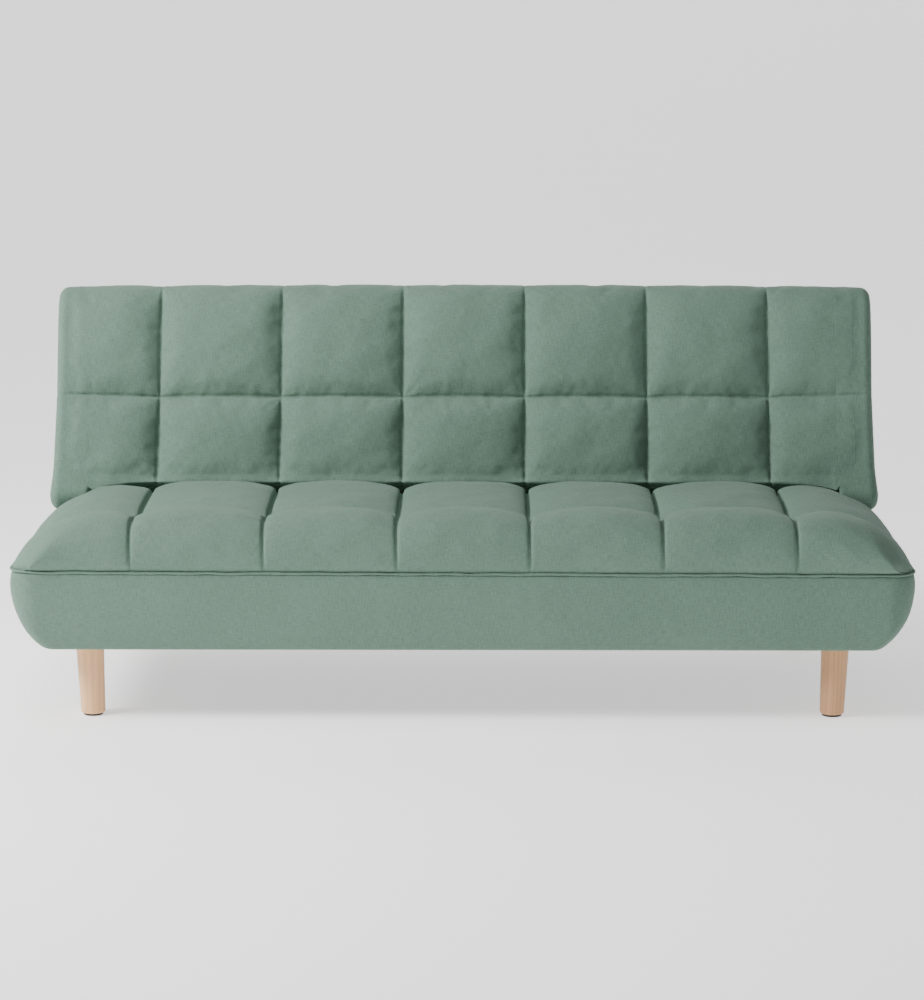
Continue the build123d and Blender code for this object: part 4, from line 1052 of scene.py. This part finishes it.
def build_dust_cover():
    """Thin cloth under the base that sags a little, its flat size and its area."""
    low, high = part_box("dust_cover")
    xs = np.linspace(low.x, high.x, 84)
    ys = np.linspace(low.y, high.y, 36)
    x, y = np.meshgrid(xs, ys, indexing="ij")
    edge = np.minimum.reduce([x - low.x, high.x - x, y - low.y, high.y - y])
    sag = 0.004 * np.clip(edge / 0.20, 0, 1) ** 0.7
    ripple = 0.0009 * smooth_noise(np.stack([x.ravel(), y.ravel()], 1), 0.12, 51).reshape(x.shape)
    z = DUST_Z - sag + ripple * np.clip(edge / 0.05, 0, 1)
    keep = ~((np.abs(x) > NOTCH_X) & ((y < low.y + NOTCH_FRONT) | (y > high.y - NOTCH_REAR)))
    index = -np.ones(x.shape, int)
    index[keep] = np.arange(keep.sum())
    quads = np.stack([index[:-1, :-1], index[1:, :-1], index[1:, 1:], index[:-1, 1:]], -1).reshape(-1, 4)
    quads = quads[(quads >= 0).all(1)][:, ::-1]
    p = np.stack([x, y, z], -1)[keep]
    area = (high.x - low.x) * (high.y - low.y) - 4 * NOTCH_AREA
    obj = mesh_of("under_cloth", p, quads, np.stack([x, y + 11.0], -1)[keep], BLACK_CLOTH)
    return obj, (high.x - low.x, high.y - low.y), area


dust, dust_flat, dust_area = build_dust_cover()
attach(dust, "seat_base")
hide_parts("dust_cover")

# ---- finishes of the hard pieces ----
FINISH = {
    # The left legs take the beech with painted light, the right legs the beech with painted shade.
    "front_left_leg": LEG_PAINTED_LIT, "rear_left_leg": LEG_PAINTED_LIT,
    "front_right_leg": LEG_PAINTED_SHADE, "rear_right_leg": LEG_PAINTED_SHADE,
    "base_left_rail": PINE_Y, "base_right_rail": PINE_Y, "base_braces": PINE_Y, "corner_blocks": PINE_Y,
    "seat_springs": SPRING, "pawl_springs": SPRING, "seat_foam": FOAM, "back_foam": FOAM,
    "seat_felt_pad": FELT, "base_rear_deck": BLACK_CLOTH,
    "leg_glides": BLACK_PLASTIC, "support_feet": BLACK_PLASTIC,
    "support_left_leg": BLACK_PAINT, "support_right_leg": BLACK_PAINT, "support_crossbar": BLACK_PAINT,
}
for node, obj in NODES.items():
    material = FINISH.get(node)
    if material is None:
        material = PINE if "rail" in node or node == "back_slats" else ZINC
    obj.data.materials.clear()
    obj.data.materials.append(material)


# ---- studio ----
def floor_paint():
    """White backdrop paint that glows a little, so that the sweep stays pale behind the sofa."""
    n = Nodes("studio_white")
    n.shader.inputs["Base Color"].default_value = (0.95, 0.95, 0.95, 1)
    n.shader.inputs["Roughness"].default_value = 0.9
    n.shader.inputs["Emission Color"].default_value = (1, 1, 1, 1)
    n.shader.inputs["Emission Strength"].default_value = 0.85
    return n.mat


SWEEP_HALF, SWEEP_FRONT, SWEEP_HEIGHT = 14.0, -9.0, 9.0
SWEEP_FLAT, SWEEP_RADIUS = 4.6, 2.4  # the floor curves up from here


def stage_floor():
    """A pale floor that curves up into a wall behind the sofa."""
    path = [(SWEEP_FRONT, 0.0), (SWEEP_FLAT, 0.0)]
    for k in range(1, 13):
        a = k / 12 * math.pi / 2
        path.append((SWEEP_FLAT + SWEEP_RADIUS * math.sin(a), SWEEP_RADIUS - SWEEP_RADIUS * math.cos(a)))
    path.append((SWEEP_FLAT + SWEEP_RADIUS, SWEEP_HEIGHT))
    verts = [(x, y, z) for x in (-SWEEP_HALF, SWEEP_HALF) for y, z in path]
    n = len(path)
    faces = [(i, n + i, n + i + 1, i + 1) for i in range(n - 1)]
    me = bpy.data.meshes.new("studio_sweep")
    me.from_pydata(verts, [], faces)
    me.polygons.foreach_set("use_smooth", [True] * len(faces))
    me.materials.append(floor_paint())
    obj = bpy.data.objects.new("studio_sweep", me)
    bpy.context.scene.collection.objects.link(obj)


stage_floor()


def lamp(name, at, to, size, power):
    """A white rectangular lamp at one place, aimed at another."""
    data = bpy.data.lights.new(name, "AREA")
    data.shape = "RECTANGLE"
    data.size, data.size_y = size
    data.energy = power
    obj = bpy.data.objects.new(name, data)
    bpy.context.scene.collection.objects.link(obj)
    obj.location = at
    obj.rotation_euler = (Vector(to) - Vector(at)).to_track_quat("-Z", "Y").to_euler()


lamp("key", (-3.4, -1.5, 3.0), (-0.1, 0.0, 0.4), (1.5, 1.4), 262)
lamp("top", (-1.2, -0.5, 3.6), (0.0, 0.1, 0.3), (2.4, 1.6), 40)
lamp("fill", (3.2, -3.2, 2.0), (0.0, 0.0, 0.4), (3.0, 2.4), 1)

world = bpy.data.worlds.new("studio")
bpy.context.scene.world = world
world.use_nodes = True
background = world.node_tree.nodes["Background"]
background.inputs["Color"].default_value = (1, 1, 1, 1)
background.inputs["Strength"].default_value = 0.15

# ---- camera: 6 m in front of the base at eye height, tipped down a little ----
PITCH = math.radians(9.893)
YAW = math.radians(0.43)
cam_data = bpy.data.cameras.new("camera")
cam_data.sensor_width = 36.0
cam_data.lens = 110.5
cam = bpy.data.objects.new("camera", cam_data)
bpy.context.scene.collection.objects.link(cam)
bpy.context.scene.camera = cam
cam.location = (0.045, FRONT_Y - 6.0, 1.5)
cam.rotation_euler = (math.pi / 2 - PITCH, 0, YAW)
